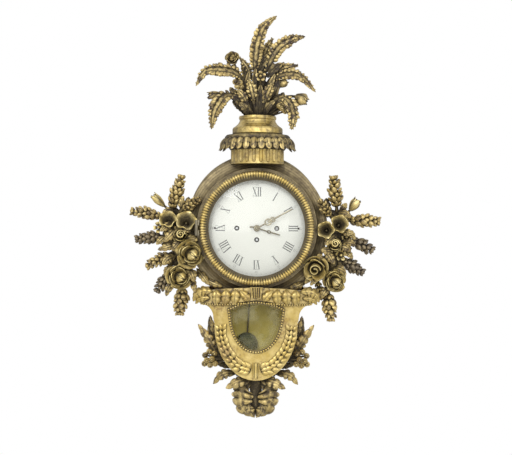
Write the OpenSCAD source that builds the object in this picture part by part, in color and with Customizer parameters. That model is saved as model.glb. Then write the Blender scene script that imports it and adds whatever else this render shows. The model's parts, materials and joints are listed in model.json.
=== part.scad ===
// Carved and gilded cartel clock: a wall clock with a three-hole striking movement.
// Millimetres. +Z is up, the wall is the plane y = 0 and the dial faces -Y.
// The origin is on the wall, straight behind the centre of the dial.

/* [Depth stack, from the wall forward] */
// Thickness of the wooden backboard
board_t = 14; // [10:1:18]
// Space behind the movement in which the pendulum and the bell hang
pendulum_gap = 18; // [17:0.5:21]
// Thickness of the movement's brass plates
plate_t = 3; // [2.5:0.1:4]
// Clear distance between the two plates
plate_gap = 29; // [27:0.5:33]
// Distance from the front plate to the iron plate behind the dial
motion_gap = 9; // [8:0.5:11]
// Thickness of the iron plate behind the dial
dial_plate_t = 2; // [1.5:0.1:3]
// Distance from the dial plate to the front face of the drum
drum_lip = 10; // [9:0.5:13]

/* [Dial and hands] */
// Thickness of the enamelled copper
dial_t = 2.5; // [2:0.1:3]
// Height of the dial's dome
dial_rise = 8; // [5:0.5:9]
// Distance of the two side winding holes from the centre
wind_x = 42; // [40:0.5:46]
// Distance of the lower winding hole below the centre
wind_low = 24; // [23.5:0.5:27]
// Radius of the winding holes
wind_hole_r = 4.4; // [4:0.1:5]
// Length of the minute hand from its centre
minute_len = 84; // [70:1:90]
// Length of the hour hand from its centre
hour_len = 51; // [48:1:64]
// Thickness of the pierced hands
hand_t = 1.2; // [0.8:0.1:1.6]
// Angle of the minute hand from twelve
minute_angle = 61; // [0:1:360]
// Angle of the hour hand from twelve
hour_angle = 106; // [0:1:360]

/* [Drum and bezel] */
// Outer radius of the hinged bezel
bezel_r = 121; // [116:0.5:128]
// Width of the hinged bezel
bezel_w = 20; // [18:0.5:22]
// Width of the drum's moulding outside the bezel
drum_w = 27; // [22:0.5:30]
// Height of the bezel from its seat to its leaf moulding
bezel_h = 24; // [22:0.5:28]
// Height of the glass dome
glass_rise = 14; // [10:0.5:18]
// Thickness of both glasses
glass_t = 2; // [1.5:0.1:3]
// Radius of the bezel's hinge pin
hinge_pin_r = 1.5; // [1:0.1:2]
// Length of the bezel's hinge
hinge_len = 32; // [24:1:40]

/* [Movement] */
// Radius of the two round plates
plate_r = 84; // [83:0.5:90]
// Radius of the going and striking spring barrels
barrel_r = 33; // [29:0.5:33]
// Module of the wheels of the going train
train_m = 0.5; // [0.48:0.01:0.52]
// Height of the pallet arbor above the escape arbor
pallet_rise = 21; // [20:0.5:24]
// Radius of the escape wheel
escape_r = 15; // [13:0.5:16]
// Radius of the bell
bell_r = 20; // [17:0.5:21]

/* [Pendulum] */
// Distance from the pallet arbor to the centre of the bob
pendulum_len = 312.5; // [300:0.5:320]
// Radius of the bob
bob_r = 24; // [18:0.5:26]
// Thickness of the bob
bob_t = 10; // [8:0.5:11]
// Angle at which the pendulum is caught in its swing, towards the left
lean = 3.7; // [0:0.1:4]

/* [Lower case] */
// Half the width of the lower case at its waist
waist_w = 88; // [84:1:96]
// Half the width under the cornice
flare_w = 111; // [106:1:118]
// Distance from the cornice down to the waist
waist_drop = 42; // [38:1:50]
// Height of the bowl below the waist
bowl_h = 115; // [110:1:125]
// Wall thickness of the lower case
case_wall = 10; // [7:0.5:12]
// Depth of the lower case at its middle, from the wall
case_front = 96; // [90:1:104]
// Radius of the bowed front
bow_r = 230; // [200:5:300]
// Half the width of the pendulum window
window_w = 55; // [52:0.5:62]
// Depth of the pendulum window below its corners
window_h = 84; // [78:1:90]
// Rise of the window's arched top above its corners
window_rise = 14.5; // [10:0.5:18]
// Height of the window's corners above the waist
window_up = 32; // [28:1:34]

/* [Pedestal and vase] */
// Distance of the pedestal's axis from the wall
neck_d = 56; // [52:0.5:62]
// Radius of the fluted pedestal
pedestal_r = 56.5; // [52:0.5:60]
// Depth to which the pedestal is scribed over the drum
pedestal_sink = 12; // [8:1:14]
// Height of the fluted pedestal
pedestal_h = 30; // [26:1:34]
// Number of flutes round the pedestal
flutes = 24; // [16:2:30]
// Outer radius of the leaf capital
capital_r = 80; // [74:0.5:84]
// Height of the leaf capital
capital_h = 32; // [28:1:36]
// Number of leaves round the capital
capital_leaves = 22; // [12:2:24]
// Radius of the vase's foot ring
vase_foot_r = 53.5; // [48:0.5:58]
// Radius of the vase's lip
vase_lip_r = 40; // [36:0.5:44]
// Height of the vase
vase_h = 40; // [36:1:46]

/* [Fits] */
// Radial clearance of arbors in their pivot holes
pivot_play = 0.05; // [0.02:0.01:0.1]
// Gap between carved pieces that seat on each other
seat_gap = 0.2; // [0.1:0.05:0.4]
// Radius of the hole that the clock hangs by
hang_hole_r = 5; // [4:0.5:6]

/* [Hidden] */
$fn = 48;
// Radii that follow the bezel
bezel_bore_r = bezel_r - bezel_w;
dial_r = bezel_bore_r + 2;
drum_bore_r = dial_r + 1;
rebate_r = bezel_r - 9;
drum_r = bezel_r + drum_w;
// Depths of the main planes, measured forward from the wall
back_plate_d = board_t + pendulum_gap;
front_plate_d = back_plate_d + plate_t + plate_gap;
dial_plate_d = front_plate_d + plate_t + motion_gap;
dial_d = dial_plate_d + dial_plate_t;
dial_top = dial_d + dial_t + dial_rise;
drum_front = dial_plate_d + drum_lip;
hour_hand_d = dial_top + 2.5;
minute_hand_d = hour_hand_d + hand_t + 2;
bezel_d = drum_front + 0.4;
glass_edge_d = bezel_d + 9;
bezel_top = bezel_d + bezel_h;
pendulum_d = board_t + 7;
// Wheel counts of the going train, the motion work and the striking train
great_n = 96;
small_pinion_n = 8;
centre_n = 80;
third_n = 75;
escape_pinion_n = 7;
escape_n = 30;
cannon_n = 12;
minute_wheel_n = 36;
minute_pinion_n = 10;
hour_wheel_n = 40;
// Places of the arbors on the plates
great_m = 2 * wind_x / (great_n + small_pinion_n);
third_x = -4;
centre_third = train_m * (centre_n + small_pinion_n) / 2;
third_z = sqrt(centre_third * centre_third - third_x * third_x);
third_escape = train_m * (third_n + escape_pinion_n) / 2;
escape_z = third_z + sqrt(third_escape * third_escape - third_x * third_x);
pallet_z = escape_z + pallet_rise;
motion_z = 18;
cannon_m = 2 * motion_z / (cannon_n + minute_wheel_n);
hour_m = 2 * motion_z / (minute_pinion_n + hour_wheel_n);
pin_angle = 75;
pin_x = -wind_x + wind_x * cos(pin_angle);
pin_z = wind_x * sin(pin_angle);
hammer_x = -67;
hammer_z = 39;
bell_x = -40;
bell_z = 56;
third_barrel_r = norm([wind_x, wind_low]) - barrel_r - 1.4;
// Layers between the plates
great_d = back_plate_d + plate_t + 2;
great_t = 2.5;
barrel_d = great_d + great_t;
barrel_h = front_plate_d - 6 - barrel_d;
strike_forward = 3.4;
centre_wheel_d = front_plate_d - 4.5;
third_wheel_d = front_plate_d - 1.8;
escape_d = back_plate_d + plate_t + 13;
motion_d = front_plate_d + plate_t + 1;
// Radii of the arbors
centre_r = 2.2;
cannon_r = 3.4;
hour_pipe_r = 4.6;
wind_r = 3;
small_pivot_r = 1;
// Domes of the dial and the bezel glass
dial_dome = (dial_r * dial_r + dial_rise * dial_rise) / (2 * dial_rise);
glass_r = bezel_bore_r + 3.7;
glass_dome = (glass_r * glass_r + glass_rise * glass_rise) / (2 * glass_rise);
// Hinge of the bezel
hinge_x = -(bezel_r + 5);
hinge_d = bezel_top - 3;
knuckle_r = 3.5;
knuckle_mid = hinge_len / 3;
// Lower case
cornice_top = bezel_r + 3;
flare_z = cornice_top + 39;
case_top = cornice_top + 2;
// Lowest point of the pendulum with its nut and some air under it
pendulum_reach = pendulum_len - pallet_z + bob_r + 34;
waist_z = max(flare_z + waist_drop, pendulum_reach + case_wall - bowl_h);
window_z = waist_z - window_up;
waist_top = waist_z - 5;
bow_d = case_front - bow_r;
cornice_d = 56;
cornice_out = 6;
cornice_k = flare_w / 111;
frame_w = 6;
frame_t = 3.5;
// Neck
pedestal_z = drum_r - pedestal_sink;
capital_z = pedestal_z + pedestal_h;
vase_z = capital_z + capital_h;
flute_r = 0.62 * PI * pedestal_r / flutes;
mouth_h = vase_lip_r / 4;
// Sizes that the carved ornaments are drawn for; their frames follow the real sizes
spray_drum_r = 148;
crest_lip_r = 40;
crest_lip_z = 238;
crest_axis_d = 56;
bowl_x = waist_w / 88;
bowl_y = bowl_h / 115;
bowl_depth = case_front / 96;
bowl_ref_z = 205;

// Small vector helpers
function unit(v) = v / norm(v);
function mixed(a, b, t) = a + (b - a) * t;
function hermite(a, b, c, d, u) = 0.5 * (2 * b + (c - a) * u + (2 * a - 5 * b + 4 * c - d) * u * u
    + (3 * b - a - 3 * c + d) * u * u * u);
// Point at t on a smooth curve through the points p
function along(p, t) =
    let (n = len(p) - 1, s = min(floor(t * n), n - 1), u = t * n - s)
    hermite(p[max(s - 1, 0)], p[s], p[s + 1], p[min(s + 2, n)], u);
function heading(p, t) = unit(along(p, min(t + 0.01, 1)) - along(p, max(t - 0.01, 0)));

// Draw with x to the right, y up and z forward from the wall
module face_on() {
    rotate([90, 0, 0]) children();
}

// Turn the z axis onto the direction u
module aimed(u) {
    rotate([0, acos(u.z), atan2(u.y, u.x)]) children();
}

// Frames of the side sprays, of the crest and of the ornaments round the bowl
module spray_frame() {
    scale(drum_r / spray_drum_r) face_on() children();
}
module crest_frame() {
    face_on() translate([0, vase_z + vase_h, neck_d]) scale(vase_lip_r / crest_lip_r)
        translate([0, -crest_lip_z, -crest_axis_d]) children();
}
module bowl_frame() {
    face_on() translate([0, -waist_z, 0]) scale([bowl_x, bowl_y, bowl_depth])
        translate([0, bowl_ref_z, 0]) children();
}

module mirrored() {
    children();
    mirror([1, 0, 0]) children();
}

// Closed skin over rings of points, with flat ends
module loft(rings) {
    n = len(rings[0]);
    m = len(rings);
    walls = [for (i = [0:m - 2], j = [0:n - 1]) each [
        [i * n + j, i * n + (j + 1) % n, (i + 1) * n + (j + 1) % n],
        [i * n + j, (i + 1) * n + (j + 1) % n, (i + 1) * n + j]]];
    ends = [[for (j = [n - 1:-1:0]) j], [for (j = [0:n - 1]) (m - 1) * n + j]];
    polyhedron([for (r = rings) each r], concat(walls, ends), convexity = 6);
}

// Serrated leaf blade along the points p, with its face towards `facing`
function blade_w(t) = max(0.05, t < 0.4 ? 0.3 + 0.7 * sin(225 * t) : pow(cos(150 * (t - 0.4)), 0.8));
function blade_rings(p, half_w, facing, teeth, cup, thick) =
    let (n = 2 * teeth + 1)
    [for (i = [0:n])
        let (t = i / n, c = along(p, t), u = heading(p, t), b = unit(cross(u, facing)), f = cross(b, u),
            w = half_w * blade_w(t) * (i % 2 == 0 ? 0.78 : 1), h = thick * (1 - 0.75 * t))
        [c - b * w + f * cup * w, c - f * h, c + b * w + f * cup * w, c + f * h]];
module blade(p, half_w, facing, teeth, cup = -0.25, thick = 4) {
    loft(blade_rings(p, half_w, facing, teeth, cup, thick));
}

// Wheat ear from a to b, its grains as staggered bumps
function ear_w(t) = t < 0.3 ? 0.45 + 0.55 * sin(300 * t) : pow(cos(128 * (t - 0.3)), 0.75);
function ear_rings(a, b, r, rows, sides) =
    let (u = unit(b - a), s = unit(cross(u, [0, 0, 1])), v = cross(u, s))
    [for (i = [0:rows])
        let (t = i / rows, c = mixed(a, b, t))
        [for (j = [0:sides - 1])
            let (k = (i + j) % 2 == 0 || i == 0 || i == rows ? 0.84 : 1.08, w = max(0.06, ear_w(t)) * r * k)
            c + w * (cos(360 * j / sides) * s + sin(360 * j / sides) * v)]];
module ear(a, b, r) {
    loft(ear_rings(a, b, r, 9, 8));
}

// Rose with rolled petals, its back at the point c and its face forward
rose_profile = [[0.42, 0], [0.7, 0.22], [1, 0.5], [0.98, 0.66], [0.82, 0.84], [0.66, 0.8], [0.52, 0.96],
    [0.36, 0.9], [0.2, 1]];
function rose_rings(c, r, h, sides) =
    [for (i = [0:len(rose_profile) - 1])
        let (q = rose_profile[i])
        [for (j = [0:sides - 1])
            let (a = 360 * j / sides, k = i < 2 ? 1 : 1 + 0.07 * cos(5 * a + 75 * i))
            c + [q.x * r * k * cos(a), q.x * r * k * sin(a), q.y * h]]];
module rose(c, r, h) {
    loft(rose_rings(c, r, h, r > 15 ? 14 : 9));
}

// Flat-backed lens-shaped leaf from a to b on a surface that faces f
module lens(a, b, half_w, h, f) {
    u = unit(b - a);
    s = unit(cross(u, f));
    l = norm(b - a);
    rim = [a, a + u * l * 0.35 + s * half_w, a + u * l * 0.7 + s * half_w * 0.7, b,
        a + u * l * 0.7 - s * half_w * 0.7, a + u * l * 0.35 - s * half_w];
    top = a + u * l * 0.45 + f * h;
    polyhedron(concat(rim, [top]), concat([for (j = [0:5]) [(j + 1) % 6, j, 6]], [[0, 1, 2, 3, 4, 5]]));
}

// Open trumpet flower with its back at c, facing along u
module trumpet(c, u, r, h) {
    translate(c) aimed(u) rotate_extrude()
        polygon([[0, 0], [3, 0], [4, h * 0.3], [7, h * 0.65], [r - 3, h * 0.9], [r, h], [r - 3, h * 0.97],
            [6, h * 0.72], [3, h * 0.5], [0, h * 0.45]]);
}

// Closed bud with its back at c, pointing along u
module bud(c, u, r, h) {
    translate(c) aimed(u) rotate_extrude()
        polygon([[0, 0], [2.5, 0], [r * 0.8, h * 0.2], [r, h * 0.42], [r * 0.85, h * 0.68], [r * 0.5, h * 0.9],
            [0, h]]);
}

// Round stem from a to the back of a piece at b that points along u
module stem(a, b, u, r0, r1) {
    hull() {
        translate(a) sphere(r = r0, $fn = 5);
        translate(b - u * seat_gap) aimed(u) translate([0, 0, -1]) cylinder(r = r1, h = 1, $fn = 6);
    }
}

// Toothed disc with involute flanks, one tooth centred at the angle `phase`
pressure = 25;
tooth_top = 0.7;
tooth_root = 0.95;
tooth_play = 0.08;
function involute(a) = tan(a) * 180 / PI - a;
function tooth_half(n, m, r) =
    let (rp = n * m / 2, rb = rp * cos(pressure))
    90 / n - tooth_play / rp * 90 / PI + involute(pressure) - involute(acos(min(1, rb / r)));
function gear_points(n, m, phase) =
    let (rp = n * m / 2, ra = rp + tooth_top * m, rr = rp - tooth_root * m, rb = rp * cos(pressure),
        radii = n > 20 ? [rr, rp, ra] : [rr, max(rr, rb) + 0.01, rp, (rp + ra) / 2, ra])
    [for (k = [0:n - 1]) each concat(
        [for (r = radii) let (a = phase + 360 * k / n - tooth_half(n, m, r)) r * [cos(a), sin(a)]],
        [for (i = [len(radii) - 1:-1:0])
            let (r = radii[i], a = phase + 360 * k / n + tooth_half(n, m, r)) r * [cos(a), sin(a)]])];
// Phase that brings nb teeth into mesh with na teeth of phase a, seen at the angle phi
function meshed(a, na, nb, phi) = phi + 180 - 180 / nb + (phi - a) * na / nb;
module gear(n, m, phase, h, bore = 0) {
    difference() {
        linear_extrude(height = h) polygon(gear_points(n, m, phase));
        if (bore > 0) translate([0, 0, -1]) cylinder(r = bore, h = h + 2);
    }
}
module rod(r, from, to) {
    translate([0, 0, from]) cylinder(r = r, h = to - from);
}

// Solid of the drum's outside, used to seat other pieces against it
astragal_d = drum_front - 33;
cavetto_h = 23;
drum_cavetto = [for (i = [0:6]) let (a = 15 * i)
    [drum_r - 2 - (drum_r - 8 - bezel_r) * cos(a), drum_front - 3 - cavetto_h * sin(a)]];
drum_side = concat([[drum_r, board_t], [drum_r, astragal_d], [drum_r + 2.5, astragal_d + 1.5],
    [drum_r + 2.5, astragal_d + 5.5]], [for (i = [6:-1:0]) drum_cavetto[i]], [[bezel_r + 6, drum_front]]);
module drum_solid(grow = 0) {
    face_on() rotate_extrude($fn = 96)
        polygon(concat([[0, board_t - 5]],
            [for (p = drum_side) p + [grow, p.y < board_t + 1 ? -5 : p.y < astragal_d + 2 ? -grow : grow]],
            [[0, drum_front + grow]]));
}

// Right half of the lower case's outline, from the top down
function case_side(w) = concat([[flare_w - w, -case_top], [flare_w - w, -flare_z]],
    [for (i = [1:6]) let (a = 15 * i) [flare_w - w - (flare_w - waist_w) * sin(a),
        -waist_top + (waist_top - flare_z) * cos(a)]],
    [for (i = [1:10]) let (a = 9 * i) [(waist_w - w) * cos(a), -waist_z - (bowl_h - w) * sin(a)]]);
function both_sides(half) = concat(half,
    [for (i = [len(half) - 1:-1:0]) if (half[i].x > 0.01) [-half[i].x, half[i].y]]);
// Depth of the bowed front at x
function bow(x) = bow_d + sqrt(bow_r * bow_r - x * x);
module bow_body(r) {
    translate([0, 0, bow_d]) rotate([90, 0, 0]) cylinder(r = r, h = 800, center = true, $fn = 96);
}
// Outline of the pendulum window, a shield whose upper corners flare out, and the same grown by w
window_flare = 0.045;
flare_depth = 0.12;
window_fullness = 2.4;
function window_half(f) = window_w * (1 - window_flare * (1 - exp(-f / flare_depth)))
    * sqrt(max(0, 1 - pow(f, window_fullness)));
function window_points() = concat(
    [for (i = [0:18]) let (f = sin(10 * i))
        [sign(9 - i) * window_half(f), -window_z - window_h * f]],
    [for (i = [1:7]) let (t = i / 4 - 1) [window_w * t, -window_z + window_rise * (1 - t * t)]]);
module window_shape(w) {
    offset(delta = w) polygon(window_points());
}
cornice_half = [for (p = [[0, -cornice_top], [60, -cornice_top - 3], [114, -cornice_top - 10],
    [124, -cornice_top - 22], [118, -flare_z + 0.5], [66, -flare_z + 0.5], [40, -flare_z + 7], [0, -flare_z + 13]])
    [p.x * cornice_k, p.y]];

// Wheat ears of the side sprays: base, tip and radius in the face-on frame
left_ear_list = [[[-182, 40, 48], [-161, 111, 52], 13.5], [[-204, 24, 46], [-269, 36, 42], 12],
    [[-204, -19, 46], [-257, -25, 42], 11.5], [[-187, -57, 46], [-234, -83, 42], 11.5],
    [[-188, -100, 48], [-211, -135, 46], 11.5], [[-157, -128, 50], [-164, -184, 46], 16],
    [[-157, 39, 62], [-123, 61, 84], 8]];
right_ear_list = [[[170, 46, 48], [163, 111, 52], 15], [[198, 18, 46], [262, 17, 42], 14.5],
    [[202, -24, 46], [247, -45, 42], 13.5], [[182, -66, 46], [227, -92, 42], 12],
    [[155, -138, 50], [159, -195, 46], 15.5], [[131, -114, 44], [141, -147, 40], 8],
    [[155, 27, 64], [134, 58, 82], 8]];
// Roses and rosettes: back, radius and height
left_rose_list = [[[-141, -56, 72], 28, 40], [[-165, -107, 62], 25, 38], [[-183, 0, 58], 10, 16],
    [[-209, 1, 50], 9, 12], [[-163, -15, 62], 13, 22]];
right_rose_list = [[[126, -80, 72], 25, 40], [[165, -114, 60], 22, 38], [[167, -33, 60], 12, 20],
    [[178, -55, 56], 9, 14], [[189, -18, 52], 9, 14]];
// Trumpet flowers: back, radius and length
left_trumpet_list = [[[-186, 21, 54], 21, 34], [[-152, 19, 70], 21, 32]];
right_trumpet_list = [[[150, 2, 66], 18, 34], [[178, 13, 54], 20, 36]];
// Closed tulips: back, direction, radius and length
left_tulip_list = [[[-198, 46, 50], unit([-26, 24, 3]), 9, 36]];
right_tulip_list = [[[199, 40, 50], unit([17, 23, 3]), 11, 30]];
// Carved cores of the sprays: points and radii, then the feet that reach the drum
left_core = [[[-172, 28, 38], 11], [[-175, -10, 40], 13], [[-170, -50, 40], 12], [[-160, -92, 40], 10]];
right_core = [[[174, 28, 38], 11], [[176, -15, 40], 13], [[168, -60, 40], 12], [[152, -100, 40], 10]];
left_feet = [[0, [-140, 44, 36], 9], [1, [-146, -10, 36], 9], [2, [-136, -58, 36], 9], [3, [-108, -104, 46], 6]];
right_feet = [[0, [142, 42, 36], 9], [1, [146, -12, 36], 9], [2, [130, -68, 36], 9], [3, [106, -106, 46], 6]];

// Crest foliage: points, half width, facing and number of serrations
crest_blade_list = [
    [[[-8, 332, 64], [-6, 356, 66], [-2, 390, 66], [11, 427, 64], [39, 452, 62]], 15.5, [0.3, 0, 1], 7],
    [[[16, 330, 52], [29, 362, 50], [46, 388, 50], [72, 404, 52], [100, 410, 54]], 14, [0, 0, 1], 6],
    [[[10, 362, 36], [18, 386, 34], [31, 409, 34]], 9, [0, 0, 1], 3],
    [[[34, 334, 40], [54, 349, 38], [86, 354, 40]], 10, [0, 0, 1], 4],
    [[[34, 318, 66], [60, 328, 70], [91, 321, 76], [120, 290, 78]], 12, [0.2, 0.5, 0.8], 6],
    [[[-32, 318, 66], [-52, 332, 70], [-82, 336, 76], [-111, 332, 78], [-130, 301, 78]], 14, [-0.2, 0.5, 0.8], 7],
    [[[-22, 318, 46], [-28, 334, 44], [-35, 352, 44]], 8, [0, 0, 1], 3],
    [[[-40, 279, 78], [-66, 279, 88], [-82, 262, 96], [-92, 239, 100], [-97, 208, 98]], 15, [-0.3, 0.4, 0.9], 7],
    [[[46, 280, 78], [66, 268, 90], [76, 238, 98], [72, 208, 98]], 13, [0.3, 0.4, 0.9], 6],
    [[[-22, 259, 92], [-31, 277, 102], [-43, 290, 98]], 9, [0, 0, 1], 3],
    [[[-9, 268, 82], [-13, 290, 88], [-19, 312, 86]], 11, [-0.1, 0, 1], 3],
    [[[14, 262, 84], [21, 284, 92], [30, 304, 88]], 11, [0.1, 0, 1], 3]];
// Crest buds: back, direction, radius and length
crest_bud_list = [[[-46, 350, 50], unit([-7, 12, 1]), 12, 28], [[-74, 283, 70], unit([-32, -4, 5]), 9, 34],
    [[80, 281, 74], unit([17, -10, 4]), 14, 30], [[46, 302, 62], unit([7, 5, 3]), 9, 22],
    [[4, 318, 78], [0, 0, 1], 8, 10]];
// Crest berries: places and radius
crest_berry_list = [[-48, 309, 78], [-38, 307, 82], [-44, 299, 84], [-35, 298, 80], [52, 262, 84], [60, 256, 88],
    [51, 252, 90], [58, 247, 86], [45, 258, 88]];
crest_berry_r = 6;

// Wooden backboard with the pocket for the hanger
hang_z = drum_r - 30;
hang_w = 60;
hang_h = 36;
hang_t = 3;
hang_screws = [[-23, 11], [23, 11], [-23, -11], [23, -11]];
screw_r = 1.4;
screw_head_r = 2.8;
dial_screw_r = 1.6;
dial_screw_at = (dial_r + rebate_r) / 2;
module backboard() {
    color("#6b4a2b") face_on() difference() {
        union() {
            cylinder(r = drum_r - 6, h = board_t, $fn = 96);
            linear_extrude(height = board_t) polygon(both_sides(case_side(6)));
            translate([-42, 0, 0]) cube([84, capital_z - 0.5, board_t]);
        }
        translate([-hang_w / 2 - 0.1, hang_z - hang_h / 2 - 0.1, -1])
            cube([hang_w + 0.2, hang_h + 0.2, hang_t + 1]);
        translate([0, hang_z, hang_t - 1]) cylinder(r = 14, h = 10);
        for (q = hang_screws) translate([q.x, hang_z + q.y, 0]) cylinder(r = screw_r + 0.05, h = 11.5);
    }
}

// Iron plate let into the back, with the hole for the wall nail
module hanger_plate() {
    color("#4a4a4a") face_on() difference() {
        translate([-hang_w / 2, hang_z - hang_h / 2, 0]) cube([hang_w, hang_h, hang_t]);
        translate([0, hang_z, -1]) cylinder(r = hang_hole_r, h = hang_t + 2);
        for (q = hang_screws) translate([q.x, hang_z + q.y, 0]) {
            translate([0, 0, -1]) cylinder(r = screw_head_r + 0.05, h = 2.5);
            cylinder(r = screw_r + 0.05, h = 9);
        }
    }
}

// Screws of the hanger plate and of the dial plate
module case_screws() {
    color("#6e6a62") face_on() {
        for (q = hang_screws) translate([q.x, hang_z + q.y, 0]) {
            rod(screw_head_r, 0, 1.4);
            rod(screw_r, 1, 11);
        }
        for (a = [45:90:315]) rotate([0, 0, a]) translate([dial_screw_at, 0, 0]) {
            rod(3.4, dial_d, dial_d + 1.6);
            rod(dial_screw_r, dial_plate_d - 12, dial_d + 1);
        }
    }
}

// Turned drum with the slots for the pendulum, the catch and the screws
catch_w = 6;
module drum_case() {
    color("#c9992e") difference() {
        drum_solid();
        face_on() {
            translate([0, 0, -10]) cylinder(r = drum_bore_r, h = 200, $fn = 96);
            translate([0, 0, dial_plate_d]) cylinder(r = rebate_r, h = 100, $fn = 96);
            translate([0, 0, -1]) cylinder(r = drum_r + 20, h = board_t + 1);
            translate([-48, -drum_r - 10, board_t - 1]) cube([96, drum_r - drum_bore_r + 18, pendulum_gap + 5]);
            translate([bezel_r - 7.6, -catch_w - 0.6, drum_front - 8.6]) cube([5, 2 * catch_w + 1.2, 20]);
            for (a = [45:90:315]) rotate([0, 0, a]) translate([dial_screw_at, 0, dial_plate_d - 12.5])
                cylinder(r = dial_screw_r + 0.05, h = 20);
        }
    }
}

// Fluted pedestal scribed to the drum
module pedestal_drum() {
    color("#c9992e") difference() {
        translate([0, -neck_d, pedestal_z]) difference() {
            cylinder(r = pedestal_r, h = pedestal_h, $fn = 96);
            for (i = [0:flutes - 1]) rotate([0, 0, 360 / flutes * (i + 0.5)])
                translate([pedestal_r + flute_r / 3, 0, 7]) {
                    cylinder(r = flute_r, h = pedestal_h, $fn = 24);
                    sphere(r = flute_r, $fn = 24);
                }
        }
        translate([-100, -board_t - seat_gap, 0]) cube([200, 100, 400]);
        drum_solid(0.3);
    }
}

// Capital carved with a ring of leaves, flat where it meets the wall
function capital_rings() =
    let (q = [[pedestal_r - 4, 0.2], [pedestal_r + 1, 0.2], [capital_r - 2, 0], [capital_r, 0.2],
        [capital_r * 0.96, 0.5], [capital_r * 0.81, 0.84], [capital_r * 0.81, 1], [vase_foot_r - 4, 1]],
        lift = [0, 0, 5, 3, 0, 0, 0, 0], swell = [0, 0, 2, 2.5, 2, 0, 0, 0], n = capital_leaves * 3)
    [for (i = [0:len(q) - 1]) [for (j = [0:n - 1])
        let (a = 360 * j / n, k = j % 3 == 0 ? 1 : -0.5, r = q[i].x + swell[i] * k,
            z = i < 2 ? seat_gap : i == 2 ? -1 + lift[i] * (k > 0 ? 0 : 1) : q[i].y * capital_h)
        [r * cos(a), r * sin(a), z]]];
module leaf_capital() {
    color("#b3852a") difference() {
        translate([0, -neck_d, capital_z]) loft(capital_rings());
        translate([-200, 0, 0]) cube([400, 100, 400]);
    }
}

// Vase that holds the bouquet
module vase_neck() {
    color("#c9992e") translate([0, -neck_d, vase_z + seat_gap]) rotate_extrude($fn = 72)
        polygon([[0, 0], [vase_foot_r - 2, 0], [vase_foot_r, 3], [vase_foot_r, 12], [vase_foot_r - 1.5, 15],
            [vase_foot_r - 6, 18], [vase_lip_r + 2, 23], [vase_lip_r - 1, 28], [vase_lip_r - 2, 32],
            [vase_lip_r - 0.5, 33.5], [vase_lip_r, 36], [vase_lip_r - 1, vase_h], [vase_lip_r - 6, vase_h],
            [vase_lip_r - 6, vase_h - mouth_h], [0, vase_h - mouth_h]]);
}

// Stems and berries of the crest
module crest_stems() {
    foot = crest_lip_z - crest_lip_r / 4 + 2 * seat_gap;
    color("#7d5c24") crest_frame() {
        translate([0, foot, crest_axis_d]) rotate([-90, 0, 0]) cylinder(r = crest_lip_r - 7, h = 9, $fn = 18);
        for (q = crest_blade_list)
            stem([q[0][0].x * 0.25, foot + 8, mixed(crest_axis_d, q[0][0].z, 0.3)], q[0][0],
                heading(q[0], 0), 5, 3.4);
        for (q = crest_bud_list)
            stem([q[0].x * 0.25, foot + 8, mixed(crest_axis_d, q[0].z, 0.3)], q[0], q[1], 4.5, 2.6);
        for (q = crest_berry_list) {
            translate(q) sphere(r = crest_berry_r, $fn = 6);
            hull() {
                translate(q) sphere(r = 3, $fn = 4);
                translate([q.x * 0.3, foot + 12, crest_axis_d + 8]) sphere(r = 3, $fn = 4);
            }
        }
    }
}

// Long serrated leaves of the crest
module crest_fronds() {
    color("#a87f2c") crest_frame() for (q = crest_blade_list) blade(q[0], q[1], q[2], q[3]);
}

// Buds of the crest
module crest_buds() {
    color("#b58a30") crest_frame() for (q = crest_bud_list) bud(q[0], q[1], q[2], q[3]);
}

// Core of a side spray: a knotty stem with feet on the drum and a stalk to each ear and flower
module spray_core(core, feet, ears, roses, trumpets, tulips) {
    color("#5e4420") difference() {
        spray_frame() {
            for (i = [0:len(core) - 2]) hull() {
                translate(core[i][0]) sphere(r = core[i][1], $fn = 8);
                translate(core[i + 1][0]) sphere(r = core[i + 1][1], $fn = 8);
            }
            for (f = feet) hull() {
                translate(core[f[0]][0]) sphere(r = f[2], $fn = 6);
                translate(f[1]) sphere(r = f[2], $fn = 6);
            }
            for (q = ears) stem(near(core, q[0]), q[0], unit(q[1] - q[0]), 6, 3.4);
            for (q = roses) stem(near(core, q[0]), q[0], [0, 0, 1], 6, 3.4);
            for (q = trumpets) stem(near(core, q[0]), q[0], [0, 0, 1], 6, 2.8);
            for (q = tulips) stem(near(core, q[0]), q[0], q[1], 5, 2.3);
        }
        drum_solid(seat_gap);
    }
}
// Point of a core closest to p
function near(core, p) =
    let (d = [for (c = core) norm(c[0] - p)], k = search(min(d), d)[0]) core[k][0];
module left_spray_core() {
    spray_core(left_core, left_feet, left_ear_list, left_rose_list, left_trumpet_list, left_tulip_list);
}
module right_spray_core() {
    spray_core(right_core, right_feet, right_ear_list, right_rose_list, right_trumpet_list, right_tulip_list);
}

// Wheat ears of the side sprays
module left_ears() {
    color("#b58a30") spray_frame() for (q = left_ear_list) ear(q[0], q[1], q[2]);
}
module right_ears() {
    color("#b58a30") spray_frame() for (q = right_ear_list) ear(q[0], q[1], q[2]);
}

// Roses and rosettes of the side sprays
module left_roses() {
    color("#c39a3c") spray_frame() for (q = left_rose_list) rose(q[0], q[1], q[2]);
}
module right_roses() {
    color("#c39a3c") spray_frame() for (q = right_rose_list) rose(q[0], q[1], q[2]);
}

// Trumpet flowers and tulips of the side sprays
module left_flowers() {
    color("#a67c2a") spray_frame() {
        for (q = left_trumpet_list) trumpet(q[0], [0, 0, 1], q[1], q[2]);
        for (q = left_tulip_list) bud(q[0], q[1], q[2], q[3]);
    }
}
module right_flowers() {
    color("#a67c2a") spray_frame() {
        for (q = right_trumpet_list) trumpet(q[0], [0, 0, 1], q[1], q[2]);
        for (q = right_tulip_list) bud(q[0], q[1], q[2], q[3]);
    }
}

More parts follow.
